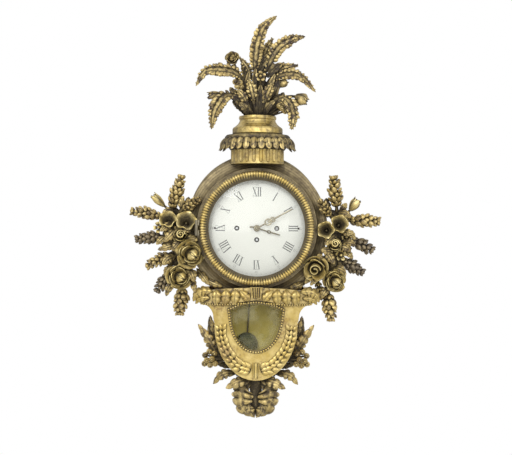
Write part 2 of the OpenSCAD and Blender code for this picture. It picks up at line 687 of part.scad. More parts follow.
// Prism of the lower case's outline, grown by g
module case_prism(g, from, to) {
    translate([0, 0, from]) linear_extrude(height = to - from) polygon(both_sides(case_side(-g)));
}
module cornice_prism(g) {
    translate([0, 0, cornice_d - g]) linear_extrude(height = 200) offset(delta = g)
        polygon(both_sides(cornice_half));
}

// Bowed lower case that the pendulum swings in
module pendulum_case() {
    color("#c9992e") difference() {
        face_on() difference() {
            intersection() {
                case_prism(0, board_t, 150);
                bow_body(bow_r);
            }
            intersection() {
                case_prism(-case_wall, board_t - 1, 150);
                bow_body(bow_r - case_wall);
            }
            translate([0, 0, board_t]) linear_extrude(height = 200) window_shape(0);
            translate([0, 0, cornice_d]) linear_extrude(height = 200) polygon(concat(
                both_sides([for (i = [5:7]) cornice_half[i]]), [[-200, -flare_z + 0.5], [-200, 0], [200, 0],
                [200, -flare_z + 0.5]]));
        }
        drum_solid(seat_gap);
    }
}

// Arched cornice between the drum and the lower case, with its keystone
module cornice() {
    color("#b3852a") difference() {
        face_on() {
            intersection() {
                translate([0, 0, cornice_d]) linear_extrude(height = 100) polygon(both_sides(cornice_half));
                translate([0, 0, cornice_out]) bow_body(bow_r);
            }
            translate([0, 0, cornice_d]) linear_extrude(height = case_front + 12 - cornice_d)
                polygon([[-13, -cornice_top + 1], [13, -cornice_top + 1], [10, -cornice_top - 23],
                    [-10, -cornice_top - 23]]);
        }
        drum_solid(seat_gap);
    }
}

// Leaves laid along the cornice, and the larger ones that droop at its ends
garland_list = [[[[14, -27, 0], [23, -18, 4], [36, -7, 0]], 8],
    [[[45, -5, 0], [45, -19, 5], [46, -36, 0]], 9.5],
    [[[64, -5, 0], [65, -20, 5], [66, -37, 0]], 10], [[[84, -6, 0], [85, -21, 5], [86, -38, 0]], 10]];
garland_t = 7;
module cornice_garland() {
    color("#a87f2c") face_on() mirrored() {
        difference() {
            for (q = garland_list) {
                a = asin(q[0][1].x * cornice_k / bow_r);
                spine = [for (p = q[0]) let (x = p.x * cornice_k)
                    [x, p.y - cornice_top, bow(x) + cornice_out + p.z]];
                blade(spine, q[1] * cornice_k, [sin(a), 0, cos(a)], 3, -0.25, garland_t);
            }
            translate([0, 0, cornice_out]) bow_body(bow_r + seat_gap);
        }
        difference() {
            blade([for (q = [[120.6, -16, 7], [131, -20, 14], [134, -34, 16], [128, -44, 12]])
                [q.x * cornice_k, q.y - cornice_top, q.z + cornice_d]], 9, [0.5, 0.4, 0.8], 4);
            cornice_prism(seat_gap);
        }
    }
}

// Raised frame round the window
module window_frame() {
    color("#c9992e") face_on() difference() {
        intersection() {
            translate([0, 0, board_t + 20]) linear_extrude(height = 150) difference() {
                window_shape(frame_w);
                window_shape(0);
            }
            bow_body(bow_r + frame_t);
        }
        bow_body(bow_r + 0.05);
        cornice_prism(seat_gap);
    }
}

// Curved glass behind the window
module window_glass() {
    color("#9aa37a80") face_on() difference() {
        intersection() {
            translate([0, 0, board_t + 20]) linear_extrude(height = 150) window_shape(4);
            bow_body(bow_r - case_wall - 0.05);
        }
        bow_body(bow_r - case_wall - 0.05 - glass_t);
    }
}

// Laurel branches below the window and the strap that binds them
function on_bowl(points) = [for (p = points) [p.x * bowl_x, -waist_z - p.y * bowl_y]];
laurel_points = on_bowl([[10, 93], [33, 84], [56, 59], [71, 27], [75, 9]]);
laurel_n = 9;
module laurel_leaves() {
    for (i = [0:laurel_n - 1], k = [-1:1]) {
        t = (i + 0.2) / laurel_n;
        p = along(laurel_points, t);
        h = heading(laurel_points, t);
        n = [-h.y, h.x];
        q = p + n * k * 2.6 * bowl_x;
        e = q + (h * 11 + n * k * 6.5) * (i == laurel_n - 1 ? 0.7 : 1) * bowl_x;
        m = (q + e) / 2;
        a = asin(m.x / bow_r);
        f = [sin(a), 0, cos(a)];
        lift = 0.25 + (k == 0 ? 0.02 : 0);
        lens([q.x, q.y, bow(q.x)] + f * lift, [e.x, e.y, bow(e.x)] + f * lift, 3.2 * bowl_x,
            k == 0 ? 4.5 : 3.4, f);
    }
}
module laurel_branches() {
    color("#b58a30") face_on() {
        mirrored() laurel_leaves();
        difference() {
            translate([0, 0, bow(0) - 1]) linear_extrude(height = 7)
                polygon(on_bowl([[-8.4, 78], [8.4, 78], [7.4, 94], [8.4, 110], [-8.4, 110], [-7.4, 94]]));
            bow_body(bow_r + 0.1);
        }
    }
}

// Leaves that spring from the sides and the underside of the lower case
module side_leaves() {
    color("#a87f2c") difference() {
        bowl_frame() mirrored() {
            for (q = [[[54, -288, 40], [74, -278, 42]], [[80, -232, 34], [92, -226, 34]],
                [[30, -308, 60], [42, -311, 62]], [[50, -288, 34], [70, -282, 30]]])
                hull() {
                    translate(q[0]) sphere(r = 5, $fn = 5);
                    translate(q[1]) sphere(r = 4, $fn = 5);
                }
            blade([[70, -281, 41], [87, -262, 46], [102, -239, 50], [124, -206, 46]], 11, [0.3, 0, 1], 6);
            blade([[87, -229, 34], [95, -210, 34], [99, -190, 32]], 7, [0.2, 0, 1], 3);
            blade([[38, -309, 60], [60, -306, 70], [77, -313, 72], [90, -331, 66]], 13, [0.2, 0.5, 0.8], 4);
            blade([[66, -284, 31], [84, -284, 30], [99, -262, 30]], 8, [0.2, 0, 1], 4);
        }
        face_on() translate([0, 0, -10]) case_prism(seat_gap, 0, 200);
    }
}

// Clusters of berries at the lower corners
berry_r = 6.6;
berry_list = [[88, -267, 62], [99, -263, 60], [108, -271, 58], [93, -278, 68], [104, -281, 66], [86, -288, 66],
    [97, -291, 64], [109, -289, 58]];
module berry_clusters() {
    color("#b58a30") difference() {
        bowl_frame() mirrored() for (q = berry_list) {
            translate(q) sphere(r = berry_r, $fn = 6);
            hull() {
                translate(q) sphere(r = 2.5, $fn = 4);
                translate([60, -279, 60]) sphere(r = 2.5, $fn = 4);
            }
        }
        face_on() translate([0, 0, -10]) case_prism(seat_gap, 0, 200);
    }
}

// Acanthus pendant under the lower case
pendant_stem = [[-316, 15], [-324, 15], [-330, 12], [-340, 9], [-352, 8], [-364, 8], [-376, 9], [-386, 10],
    [-395, 5]];
module pendant() {
    color("#a87f2c") difference() {
        bowl_frame() {
            for (i = [0:len(pendant_stem) - 2]) hull() {
                translate([0, pendant_stem[i][0], 58]) sphere(r = pendant_stem[i][1], $fn = 8);
                translate([0, pendant_stem[i + 1][0], 58]) sphere(r = pendant_stem[i + 1][1], $fn = 8);
            }
            mirrored() {
                blade([[8, -326, 64], [24, -336, 74], [28, -358, 76], [24, -383, 68], [4, -400, 58]], 22,
                    [0.35, 0, 0.95], 8, -0.3, 5);
                blade([[8, -324, 68], [36, -325, 84], [63, -340, 82]], 11, [0, 0.5, 0.85], 4);
            }
        }
        face_on() translate([0, 0, -10]) case_prism(seat_gap, 0, 200);
    }
}

// Hinged bezel: leaf moulding outside, cove inside and a rebate for the glass behind
module bezel_ring() {
    k = bezel_w / 20;
    color("#c9992e") face_on() rotate_extrude($fn = 96)
        polygon([[bezel_bore_r + 4, bezel_d], [bezel_r, bezel_d], [bezel_r, bezel_d + 13],
            [bezel_r - k, bezel_d + 18], [bezel_r - 3 * k, bezel_d + 22], [bezel_r - 6 * k, bezel_top],
            [bezel_r - 9 * k, bezel_top - 1], [bezel_r - 12 * k, bezel_top - 4],
            [bezel_r - 13.5 * k, bezel_top - 4], [bezel_r - 16 * k, bezel_top - 8],
            [bezel_bore_r + 1, bezel_top - 10.6], [bezel_bore_r, glass_edge_d + 4.6],
            [bezel_bore_r, glass_edge_d + 3.2], [bezel_bore_r + 4, glass_edge_d + 3.2]]);
}

// Domed glass of the bezel
module bezel_glass() {
    color("#dfe8ea60") face_on() translate([0, 0, glass_edge_d]) {
        intersection() {
            translate([0, 0, glass_rise - glass_dome]) difference() {
                sphere(r = glass_dome + glass_t, $fn = 96);
                sphere(r = glass_dome, $fn = 96);
            }
            cylinder(r = glass_r, h = glass_rise + 10, $fn = 96);
        }
    }
}

// Hinge leaf on the drum, with the pin
module hinge_case_leaf() {
    color("#8f7430") union() {
        translate([hinge_x, -hinge_d, -knuckle_mid / 2 + 0.3]) cylinder(r = knuckle_r, h = knuckle_mid - 0.6);
        translate([hinge_x - 0.6, -hinge_d, -knuckle_mid / 2 + 0.3])
            cube([3, hinge_d - drum_front - seat_gap, knuckle_mid - 0.6]);
        translate([hinge_x, -hinge_d, -hinge_len / 2 - 1]) cylinder(r = hinge_pin_r, h = hinge_len + 2);
    }
}

// Hinge leaf on the bezel, with the two outer knuckles
module hinge_bezel_leaf() {
    color("#8f7430") difference() {
        for (z = [-hinge_len / 2, knuckle_mid / 2]) translate([hinge_x, -hinge_d, z]) {
            cylinder(r = knuckle_r, h = knuckle_mid);
            translate([0, -1.5, 0]) cube([8, 3, knuckle_mid]);
        }
        translate([hinge_x, -hinge_d, -hinge_len]) cylinder(r = hinge_pin_r + pivot_play, h = 2 * hinge_len);
        face_on() cylinder(r = bezel_r + 0.05, h = 200, $fn = 96);
    }
}

// Spring catch on the back of the bezel
module bezel_catch() {
    color("#8f7430") face_on() translate([bezel_r - 7, -catch_w, bezel_d - 8]) cube([2, 2 * catch_w, 8]);
}

// Round plates of the movement
pillar_at = [[52, 56], [-52, 56], [52, -56], [-52, -56]];
pillar_r = 4;
foot_at = [[62, 32], [-62, 32], [62, -32], [-62, -32]];
foot_r = 3;
stud_r = 1.8;
module wind_places() {
    for (q = [[wind_x, 0], [-wind_x, 0], [0, -wind_low]]) translate([q.x, q.y, 0]) children();
}
module pivot_hole(x, z, r) {
    translate([x, z, -1]) cylinder(r = r + pivot_play, h = 300);
}
module front_plate() {
    color("#b8973f") face_on() {
        difference() {
            rod(plate_r, front_plate_d, front_plate_d + plate_t);
            pivot_hole(0, 0, centre_r);
            pivot_hole(third_x, third_z, small_pivot_r);
            pivot_hole(0, escape_z, small_pivot_r);
            pivot_hole(0, pallet_z, small_pivot_r);
            pivot_hole(pin_x, pin_z, small_pivot_r);
            pivot_hole(hammer_x, hammer_z, small_pivot_r);
            wind_places() pivot_hole(0, 0, wind_r);
        }
        translate([0, motion_z, 0]) rod(stud_r, front_plate_d + plate_t - 0.5, dial_plate_d - 1);
    }
}
module back_plate() {
    color("#b8973f") face_on() difference() {
        rod(plate_r, back_plate_d, back_plate_d + plate_t);
        pivot_hole(0, 0, small_pivot_r);
        pivot_hole(third_x, third_z, small_pivot_r);
        pivot_hole(0, escape_z, small_pivot_r);
        pivot_hole(0, pallet_z, 3);
        pivot_hole(pin_x, pin_z, small_pivot_r);
        pivot_hole(hammer_x, hammer_z, 1.6);
        wind_places() pivot_hole(0, 0, wind_r - 0.5);
    }
}

// Pillars between the plates, and the shorter ones that carry the movement on the dial plate
module plate_pillars() {
    color("#b8973f") face_on() {
        for (q = pillar_at) translate([q.x, q.y, 0]) rod(pillar_r, back_plate_d + plate_t, front_plate_d);
        for (q = foot_at) translate([q.x, q.y, 0]) rod(foot_r, front_plate_d + plate_t, dial_plate_d);
    }
}

// Iron plate behind the dial
module dial_plate() {
    color("#57534b") face_on() difference() {
        rod(rebate_r - 0.3, dial_plate_d, dial_d);
        pivot_hole(0, 0, hour_pipe_r + 2);
        wind_places() pivot_hole(0, 0, wind_r + 2);
        for (a = [45:90:315]) rotate([0, 0, a]) pivot_hole(dial_screw_at, 0, dial_screw_r);
    }
}

// Domed enamel dial
module enamel_dial() {
    color("#efece2") face_on() difference() {
        translate([0, 0, dial_d]) intersection() {
            translate([0, 0, dial_rise - dial_dome]) difference() {
                sphere(r = dial_dome + dial_t, $fn = 96);
                sphere(r = dial_dome, $fn = 96);
            }
            cylinder(r = dial_r, h = 50, $fn = 96);
        }
        pivot_hole(0, 0, hour_pipe_r + 0.6);
        wind_places() pivot_hole(0, 0, wind_hole_r);
    }
}

// Bell, its stand and the cock that carries the pendulum
module bell() {
    color("#c0b070") face_on() translate([bell_x, bell_z, board_t + 3]) rotate_extrude()
        polygon([[bell_r, 0], [bell_r, 1.5], [bell_r - 3, 6], [bell_r * 0.6, 10], [2.05, 11], [2.05, 9.5],
            [bell_r * 0.6 - 0.5, 8.6], [bell_r - 4.4, 5], [bell_r - 1.8, 0]]);
}
module bell_stand() {
    color("#8a8478") face_on() translate([bell_x, bell_z, board_t + 3]) {
        rod(2, 7, 12);
        rod(4, 11, pendulum_gap - 3);
        rod(4, 7, 8.9);
    }
}
cock_pin_r = 2;
module pendulum_cock() {
    color("#b8973f") face_on() translate([0, pallet_z, 0]) {
        difference() {
            translate([-16, -7, pendulum_d + 3.5]) cube([32, 16, 2]);
            translate([0, 0, pendulum_d + 4.5]) cylinder(r = small_pivot_r + pivot_play, h = 10);
        }
        rod(cock_pin_r, board_t + 2, pendulum_d + 4);
        for (x = [-16, 12]) translate([x, -7, pendulum_d + 5]) cube([4, 16, back_plate_d - pendulum_d - 5]);
    }
}

// Centre arbor with its pinion and wheel
module centre_arbor() {
    color("#b08f3c") face_on() {
        rod(small_pivot_r, back_plate_d + 0.3, great_d);
        rod(centre_r, back_plate_d + plate_t + 0.4, minute_hand_d + hand_t);
        translate([0, 0, great_d - 1]) gear(small_pinion_n, great_m, 0, great_t + 1.4);
        translate([0, 0, centre_wheel_d]) gear(centre_n, train_m, 0, 1.5);
    }
}
// Pipe of the minute hand, with the pinion of the motion work
module cannon_pinion() {
    color("#b08f3c") face_on() difference() {
        union() {
            translate([0, 0, motion_d]) gear(cannon_n, cannon_m, 0, 2.5);
            rod(cannon_r, motion_d, minute_hand_d + hand_t);
        }
        pivot_hole(0, 0, centre_r);
    }
}
// Pierced hand pointing up, from its boss to its tip
module hand_shape(l, boss, bore, ring_at, ring_r, tail) {
    difference() {
        union() {
            circle(r = boss);
            polygon([[-1.5, 0], [1.5, 0], [1.1, ring_at], [-1.1, ring_at]]);
            translate([0, ring_at]) circle(r = ring_r);
            for (x = [-1, 1]) translate([x * ring_r * 0.62, ring_at + ring_r * 0.95]) circle(r = ring_r * 0.5);
            polygon([[-2.2, ring_at + ring_r * 0.8], [2.2, ring_at + ring_r * 0.8], [0.5, l], [-0.5, l]]);
            translate([0, ring_at + ring_r * 2.4]) scale([0.55, 1]) circle(r = 4, $fn = 24);
            if (tail > 0) {
                polygon([[-1.3, 0], [1.3, 0], [1, -tail + 3], [-1, -tail + 3]]);
                translate([0, -tail + 3]) circle(r = 3);
            }
        }
        circle(r = bore);
        translate([0, ring_at]) circle(r = ring_r - 1.7);
    }
}
module minute_hand() {
    color("#7a5a1e") face_on() rotate([0, 0, -minute_angle]) {
        translate([0, 0, minute_hand_d]) linear_extrude(height = hand_t)
            hand_shape(minute_len, cannon_r + 2.2, cannon_r + 0.05, 30, 5, 0);
        translate([0, 0, minute_hand_d + hand_t + 0.05]) cylinder(r1 = 4.6, r2 = 2.4, h = 2.4);
    }
}
module minute_wheel() {
    color("#b08f3c") face_on() translate([0, motion_z, motion_d]) difference() {
        union() {
            gear(minute_wheel_n, cannon_m, meshed(0, cannon_n, minute_wheel_n, 90), 2.5);
            gear(minute_pinion_n, hour_m, 0, 5.6);
        }
        translate([0, 0, -1]) cylinder(r = stud_r + pivot_play, h = 20);
    }
}
module hour_wheel() {
    color("#b08f3c") face_on() difference() {
        union() {
            translate([0, 0, motion_d + 3.2])
                gear(hour_wheel_n, hour_m, meshed(0, minute_pinion_n, hour_wheel_n, -90), 2);
            rod(hour_pipe_r, motion_d + 3.2, hour_hand_d + hand_t);
        }
        pivot_hole(0, 0, cannon_r);
    }
}
module hour_hand() {
    color("#7a5a1e") face_on() rotate([0, 0, -hour_angle]) translate([0, 0, hour_hand_d])
        linear_extrude(height = hand_t) hand_shape(hour_len, hour_pipe_r + 2, hour_pipe_r + 0.05, 24, 5.4, 15);
}

// Third wheel, escape wheel and anchor
third_phi = atan2(third_z, third_x);
escape_phi = atan2(escape_z - third_z, -third_x);
module third_wheel() {
    color("#b08f3c") face_on() translate([third_x, third_z, 0]) {
        rod(small_pivot_r, back_plate_d + 0.3, front_plate_d + plate_t - 0.3);
        rod(1.3, back_plate_d + plate_t + 0.4, front_plate_d - 0.4);
        translate([0, 0, centre_wheel_d - 0.5])
            gear(small_pinion_n, train_m, meshed(0, centre_n, small_pinion_n, third_phi), 2.4);
        translate([0, 0, third_wheel_d]) gear(third_n, train_m, 0, 1.2);
    }
}
module escape_wheel() {
    saw = [for (i = [0:escape_n - 1]) each [
        escape_r * [cos(360 / escape_n * i), sin(360 / escape_n * i)],
        (escape_r - 2.6) * [cos(360 / escape_n * (i + 0.2)), sin(360 / escape_n * (i + 0.2))],
        (escape_r - 2.6) * [cos(360 / escape_n * (i + 0.7)), sin(360 / escape_n * (i + 0.7))]]];
    color("#c2a24a") face_on() translate([0, escape_z, 0]) {
        rod(small_pivot_r, back_plate_d + 0.3, front_plate_d + plate_t - 0.3);
        rod(1.2, back_plate_d + plate_t + 0.4, front_plate_d - 0.4);
        translate([0, 0, third_wheel_d - 0.4])
            gear(escape_pinion_n, train_m, meshed(0, third_n, escape_pinion_n, escape_phi), 1.9);
        translate([0, 0, escape_d]) linear_extrude(height = 1.8) polygon(saw);
    }
}
// Anchor with its pallets, arbor and crutch
rod_r = 1.8;
crutch_len = 42;
module anchor() {
    color("#7c7c80") face_on() translate([0, pallet_z, 0]) rotate([0, 0, -lean]) {
        rod(small_pivot_r, pendulum_d + 4.8, front_plate_d + plate_t - 0.3);
        rod(1.6, pendulum_d + 6.2, front_plate_d - 0.4);
        translate([0, 0, escape_d]) linear_extrude(height = 1.8) polygon([[-3, 4], [3, 4], [14, -3], [17, -13],
            [14.6, -13.6], [11, -6], [0, 0.6], [-11, -6], [-14.6, -13.6], [-17, -13], [-14, -3]]);
        translate([-1.5, -crutch_len, pendulum_d + 6.6]) cube([3, crutch_len, 1.6]);
        for (x = [-rod_r - 2.2, rod_r + 0.2]) translate([x, -crutch_len - 2, pendulum_d - 2])
            cube([2, 4, 10.2]);
        translate([-rod_r - 2.2, -crutch_len - 2, pendulum_d + 6.6]) cube([2 * rod_r + 4.4, 4, 1.6]);
    }
}

// Pendulum: rod with its eye, bob and rating nut
thread_r = 1.5;
module pendulum_rod() {
    color("#6f6a60") face_on() translate([0, pallet_z, 0]) rotate([0, 0, -lean]) difference() {
        union() {
            rod(4.4, pendulum_d - 1.6, pendulum_d + 1.6);
            translate([0, -3, pendulum_d]) rotate([90, 0, 0]) cylinder(r = rod_r, h = pendulum_len - bob_r - 3);
            translate([0, -pendulum_len + bob_r + 6, pendulum_d]) rotate([90, 0, 0])
                cylinder(r = thread_r, h = 2 * bob_r + 16);
        }
        pivot_hole(0, 0, cock_pin_r);
    }
}
module pendulum_bob() {
    color("#5a4a2c") face_on() translate([0, pallet_z, 0]) rotate([0, 0, -lean])
        translate([0, -pendulum_len, pendulum_d]) difference() {
            union() {
                translate([0, 0, -bob_t / 2]) cylinder(r1 = bob_r * 0.8, r2 = bob_r, h = bob_t / 4);
                translate([0, 0, -bob_t / 4]) cylinder(r = bob_r, h = bob_t / 2);
                translate([0, 0, bob_t / 4]) cylinder(r1 = bob_r, r2 = bob_r * 0.8, h = bob_t / 4);
            }
            rotate([90, 0, 0]) cylinder(r = thread_r + 0.05, h = 100, center = true);
        }
}
module rating_nut() {
    color("#b8973f") face_on() translate([0, pallet_z, 0]) rotate([0, 0, -lean])
        translate([0, -pendulum_len - bob_r - 0.3, pendulum_d]) rotate([90, 0, 0]) difference() {
            cylinder(r = 4.5, h = 4, $fn = 12);
            translate([0, 0, -1]) cylinder(r = thread_r + pivot_play, h = 10, $fn = 48);
        }
}

// Spring barrels and their winding arbors
module great_barrel(phase, forward) {
    difference() {
        union() {
            translate([0, 0, great_d + forward]) gear(great_n, great_m, phase, great_t);
            rod(barrel_r, barrel_d + forward - 0.5, barrel_d + barrel_h);
        }
        difference() {
            rod(barrel_r - 1.6, barrel_d + forward + 1, barrel_d + barrel_h - 1.6);
            rod(wind_r + 2.5, barrel_d, barrel_d + barrel_h);
        }
        pivot_hole(0, 0, wind_r);
    }
}
ratchet_r = 7;
square_w = 4.2;
module winding_arbor() {
    ratchet = [for (i = [0:17]) each [ratchet_r * [cos(20 * i), sin(20 * i)],
        (ratchet_r - 1.2) * [cos(20 * i + 3), sin(20 * i + 3)]]];
    rod(wind_r - 0.5, back_plate_d + 0.3, great_d);
    rod(wind_r, back_plate_d + plate_t + 0.4, dial_plate_d - 3);
    translate([0, 0, front_plate_d + plate_t + 0.4]) linear_extrude(height = 1.8) polygon(ratchet);
    translate([-square_w / 2, -square_w / 2, dial_plate_d - 4])
        cube([square_w, square_w, dial_top - dial_plate_d - 0.5]);
}
module going_barrel() {
    color("#b8973f") face_on() translate([wind_x, 0, 0]) great_barrel(meshed(0, small_pinion_n, great_n, 0), 0);
}
module going_winding_arbor() {
    color("#8a8a8e") face_on() translate([wind_x, 0, 0]) winding_arbor();
}
module strike_barrel() {
    color("#b8973f") face_on() translate([-wind_x, 0, 0]) great_barrel(0, strike_forward);
}
module strike_winding_arbor() {
    color("#8a8a8e") face_on() translate([-wind_x, 0, 0]) winding_arbor();
}
module third_barrel() {
    color("#b8973f") face_on() translate([0, -wind_low, 0]) difference() {
        rod(third_barrel_r, barrel_d + strike_forward + 0.7, barrel_d + barrel_h);
        difference() {
            rod(third_barrel_r - 1.5, barrel_d + strike_forward + 2.2, barrel_d + barrel_h - 1.5);
            rod(wind_r + 2, barrel_d, barrel_d + barrel_h);
        }
        pivot_hole(0, 0, wind_r);
    }
}
module third_winding_arbor() {
    color("#8a8a8e") face_on() translate([0, -wind_low, 0]) winding_arbor();
}

// Pin wheel of the striking train and the hammer it lifts
pin_wheel_r = 13.4;
module pin_wheel() {
    color("#b08f3c") face_on() translate([pin_x, pin_z, 0]) {
        rod(small_pivot_r, back_plate_d + 0.3, front_plate_d + plate_t - 0.3);
        rod(1.4, back_plate_d + plate_t + 0.4, front_plate_d - 0.4);
        translate([0, 0, great_d + strike_forward - 0.5])
            gear(small_pinion_n, great_m, meshed(0, great_n, small_pinion_n, pin_angle), 3.4);
        rod(pin_wheel_r, front_plate_d - 5.5, front_plate_d - 4.2);
        for (i = [0:7]) rotate([0, 0, 45 * i]) translate([pin_wheel_r - 2, 0, 0])
            rod(1, front_plate_d - 4.5, front_plate_d - 1.2);
    }
}
module hammer() {
    head_x = bell_x - bell_r - 4.2 - hammer_x;
    head_z = bell_z - hammer_z;
    color("#7c7c80") face_on() translate([hammer_x, hammer_z, 0]) {
        rod(small_pivot_r, board_t + 8, front_plate_d + plate_t - 0.3);
        rod(1.5, board_t + 3, front_plate_d - 0.4);
        translate([0, -1, front_plate_d - 3.6]) cube([pin_x - hammer_x - pin_wheel_r + 0.4, 2, 2.2]);
        translate([0, 0, board_t + 3]) linear_extrude(height = 2.4)
            polygon([[-2.4, -2], [2.4, -2], [head_x + 1.2, head_z], [head_x - 1.2, head_z]]);
        translate([head_x, head_z, 0]) rod(3, board_t + 2, board_t + 8);
    }
}

backboard();
hanger_plate();
case_screws();
drum_case();
pedestal_drum();
leaf_capital();
vase_neck();
crest_stems();
crest_fronds();
crest_buds();
left_spray_core();
left_ears();
left_roses();
left_flowers();
right_spray_core();
right_ears();
right_roses();
right_flowers();
pendulum_case();
cornice();
cornice_garland();
window_frame();
window_glass();
laurel_branches();
side_leaves();
berry_clusters();
pendant();
bezel_ring();
bezel_glass();
hinge_case_leaf();
hinge_bezel_leaf();
bezel_catch();
front_plate();
back_plate();
plate_pillars();
dial_plate();
enamel_dial();
bell();
bell_stand();
pendulum_cock();
centre_arbor();
cannon_pinion();
minute_hand();
minute_wheel();
hour_wheel();
hour_hand();
third_wheel();
escape_wheel();
anchor();
pendulum_rod();
pendulum_bob();
rating_nut();
going_barrel();
going_winding_arbor();
strike_barrel();
strike_winding_arbor();
third_barrel();
third_winding_arbor();
pin_wheel();
hammer();
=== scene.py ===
# %% [markdown]
# # A carved and gilded wall clock
# This lesson dresses a wall clock whose case is carved from limewood and water gilded. The frame that
# is loaded first holds every solid of the construction, in metres: the wall is the plane y = 0, the
# dial faces -Y, and the origin is on the wall behind the middle of the dial. Nothing in that frame is
# moved. Carved pieces are rebuilt in finer detail at the same places, and the plain turned pieces keep
# their solids and get a finish.

# %% Load the frame
import json
import math

import bpy
import numpy as np
from mathutils import Matrix, Vector


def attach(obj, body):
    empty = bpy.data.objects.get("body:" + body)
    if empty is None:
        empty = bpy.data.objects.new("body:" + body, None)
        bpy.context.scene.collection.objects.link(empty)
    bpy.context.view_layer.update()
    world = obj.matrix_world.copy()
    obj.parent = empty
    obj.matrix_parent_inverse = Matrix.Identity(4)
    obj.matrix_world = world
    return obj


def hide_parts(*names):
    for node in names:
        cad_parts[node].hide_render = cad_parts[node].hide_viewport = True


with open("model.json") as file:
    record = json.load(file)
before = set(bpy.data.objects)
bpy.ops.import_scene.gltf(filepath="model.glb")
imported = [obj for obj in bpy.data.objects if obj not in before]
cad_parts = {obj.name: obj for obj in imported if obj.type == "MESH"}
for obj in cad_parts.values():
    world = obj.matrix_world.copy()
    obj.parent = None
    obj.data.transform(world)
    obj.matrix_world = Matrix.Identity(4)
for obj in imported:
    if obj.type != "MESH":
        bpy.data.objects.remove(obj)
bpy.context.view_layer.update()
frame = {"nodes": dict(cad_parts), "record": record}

# %% [markdown]
# ## The camera
# The picture was taken from straight in front, at the height of the dial. The dial's visible diameter
# gives the scale: one pixel is about 2.1 mm there. A lens can be worked out from the width that the
# picture spans at the dial and the distance to it, which keeps the perspective right as well as the
# size. The clock hangs a little out of plumb, so the camera is rolled instead of the clock.

# %% Camera
IMAGE_W = 512
IMAGE_H = 455
PIXEL = 0.002105
DIAL_PIXEL = (256.8, 228.3)
DIAL_FRONT = 0.088
CAMERA_AWAY = 2.5
CAMERA_ROLL = math.radians(0.45)
SENSOR_W = 36.0
CLIP_END = 50.0

camera_data = bpy.data.cameras.new("camera")
camera = bpy.data.objects.new("camera", camera_data)
bpy.context.scene.collection.objects.link(camera)
camera.location = (0.0, -DIAL_FRONT - CAMERA_AWAY, 0.0)
level = Matrix.Rotation(math.pi / 2, 3, "X")
camera.rotation_euler = (level @ Matrix.Rotation(CAMERA_ROLL, 3, "Z")).to_euler()
camera_data.sensor_fit = "HORIZONTAL"
camera_data.sensor_width = SENSOR_W
camera_data.lens = SENSOR_W * CAMERA_AWAY / (IMAGE_W * PIXEL)
camera_data.shift_x = (IMAGE_W / 2 - DIAL_PIXEL[0]) / IMAGE_W
camera_data.shift_y = (DIAL_PIXEL[1] - IMAGE_H / 2) / IMAGE_W
camera_data.clip_end = CLIP_END
bpy.context.scene.camera = camera
print("lens", round(camera_data.lens, 2), "mm")

# %% [markdown]
# ## Shader maths in plain Python
# A finish is easier to read as a formula than as a list of nodes. `Wire` wraps the output of a node so
# that +, -, * and / add Math nodes, also when a plain number stands on the left. `tree_node` adds any
# node to any tree, from its type, its settings and the values or sockets that feed it.

# %% Nodes and wires
def tree_node(tree, kind, settings=None, sockets=None):
    made = tree.nodes.new(kind)
    for key, value in (settings or {}).items():
        setattr(made, key, value)
    for key, value in (sockets or {}).items():
        if isinstance(value, bpy.types.NodeSocket):
            tree.links.new(value, made.inputs[key])
        else:
            made.inputs[key].default_value = value
    return made.outputs


class Wire:
    def __init__(self, paint, socket):
        self.paint = paint
        self.socket = socket

    def maths(self, operation, left, right):
        return self.paint.node("ShaderNodeMath", {"operation": operation}, {0: left, 1: right})

    def __add__(self, other):
        return self.maths("ADD", self, other)

    def __radd__(self, other):
        return self.maths("ADD", other, self)

    def __sub__(self, other):
        return self.maths("SUBTRACT", self, other)

    def __rsub__(self, other):
        return self.maths("SUBTRACT", other, self)

    def __mul__(self, other):
        return self.maths("MULTIPLY", self, other)

    def __rmul__(self, other):
        return self.maths("MULTIPLY", other, self)

    def __truediv__(self, other):
        return self.maths("DIVIDE", self, other)

    def __pow__(self, other):
        return self.maths("POWER", self, other)

    def folded(self, size):
        return self.maths("PINGPONG", self, size)

    def clamped(self):
        return self.paint.node("ShaderNodeClamp", {}, {"Value": self})


print("wires ready", Wire.__name__)
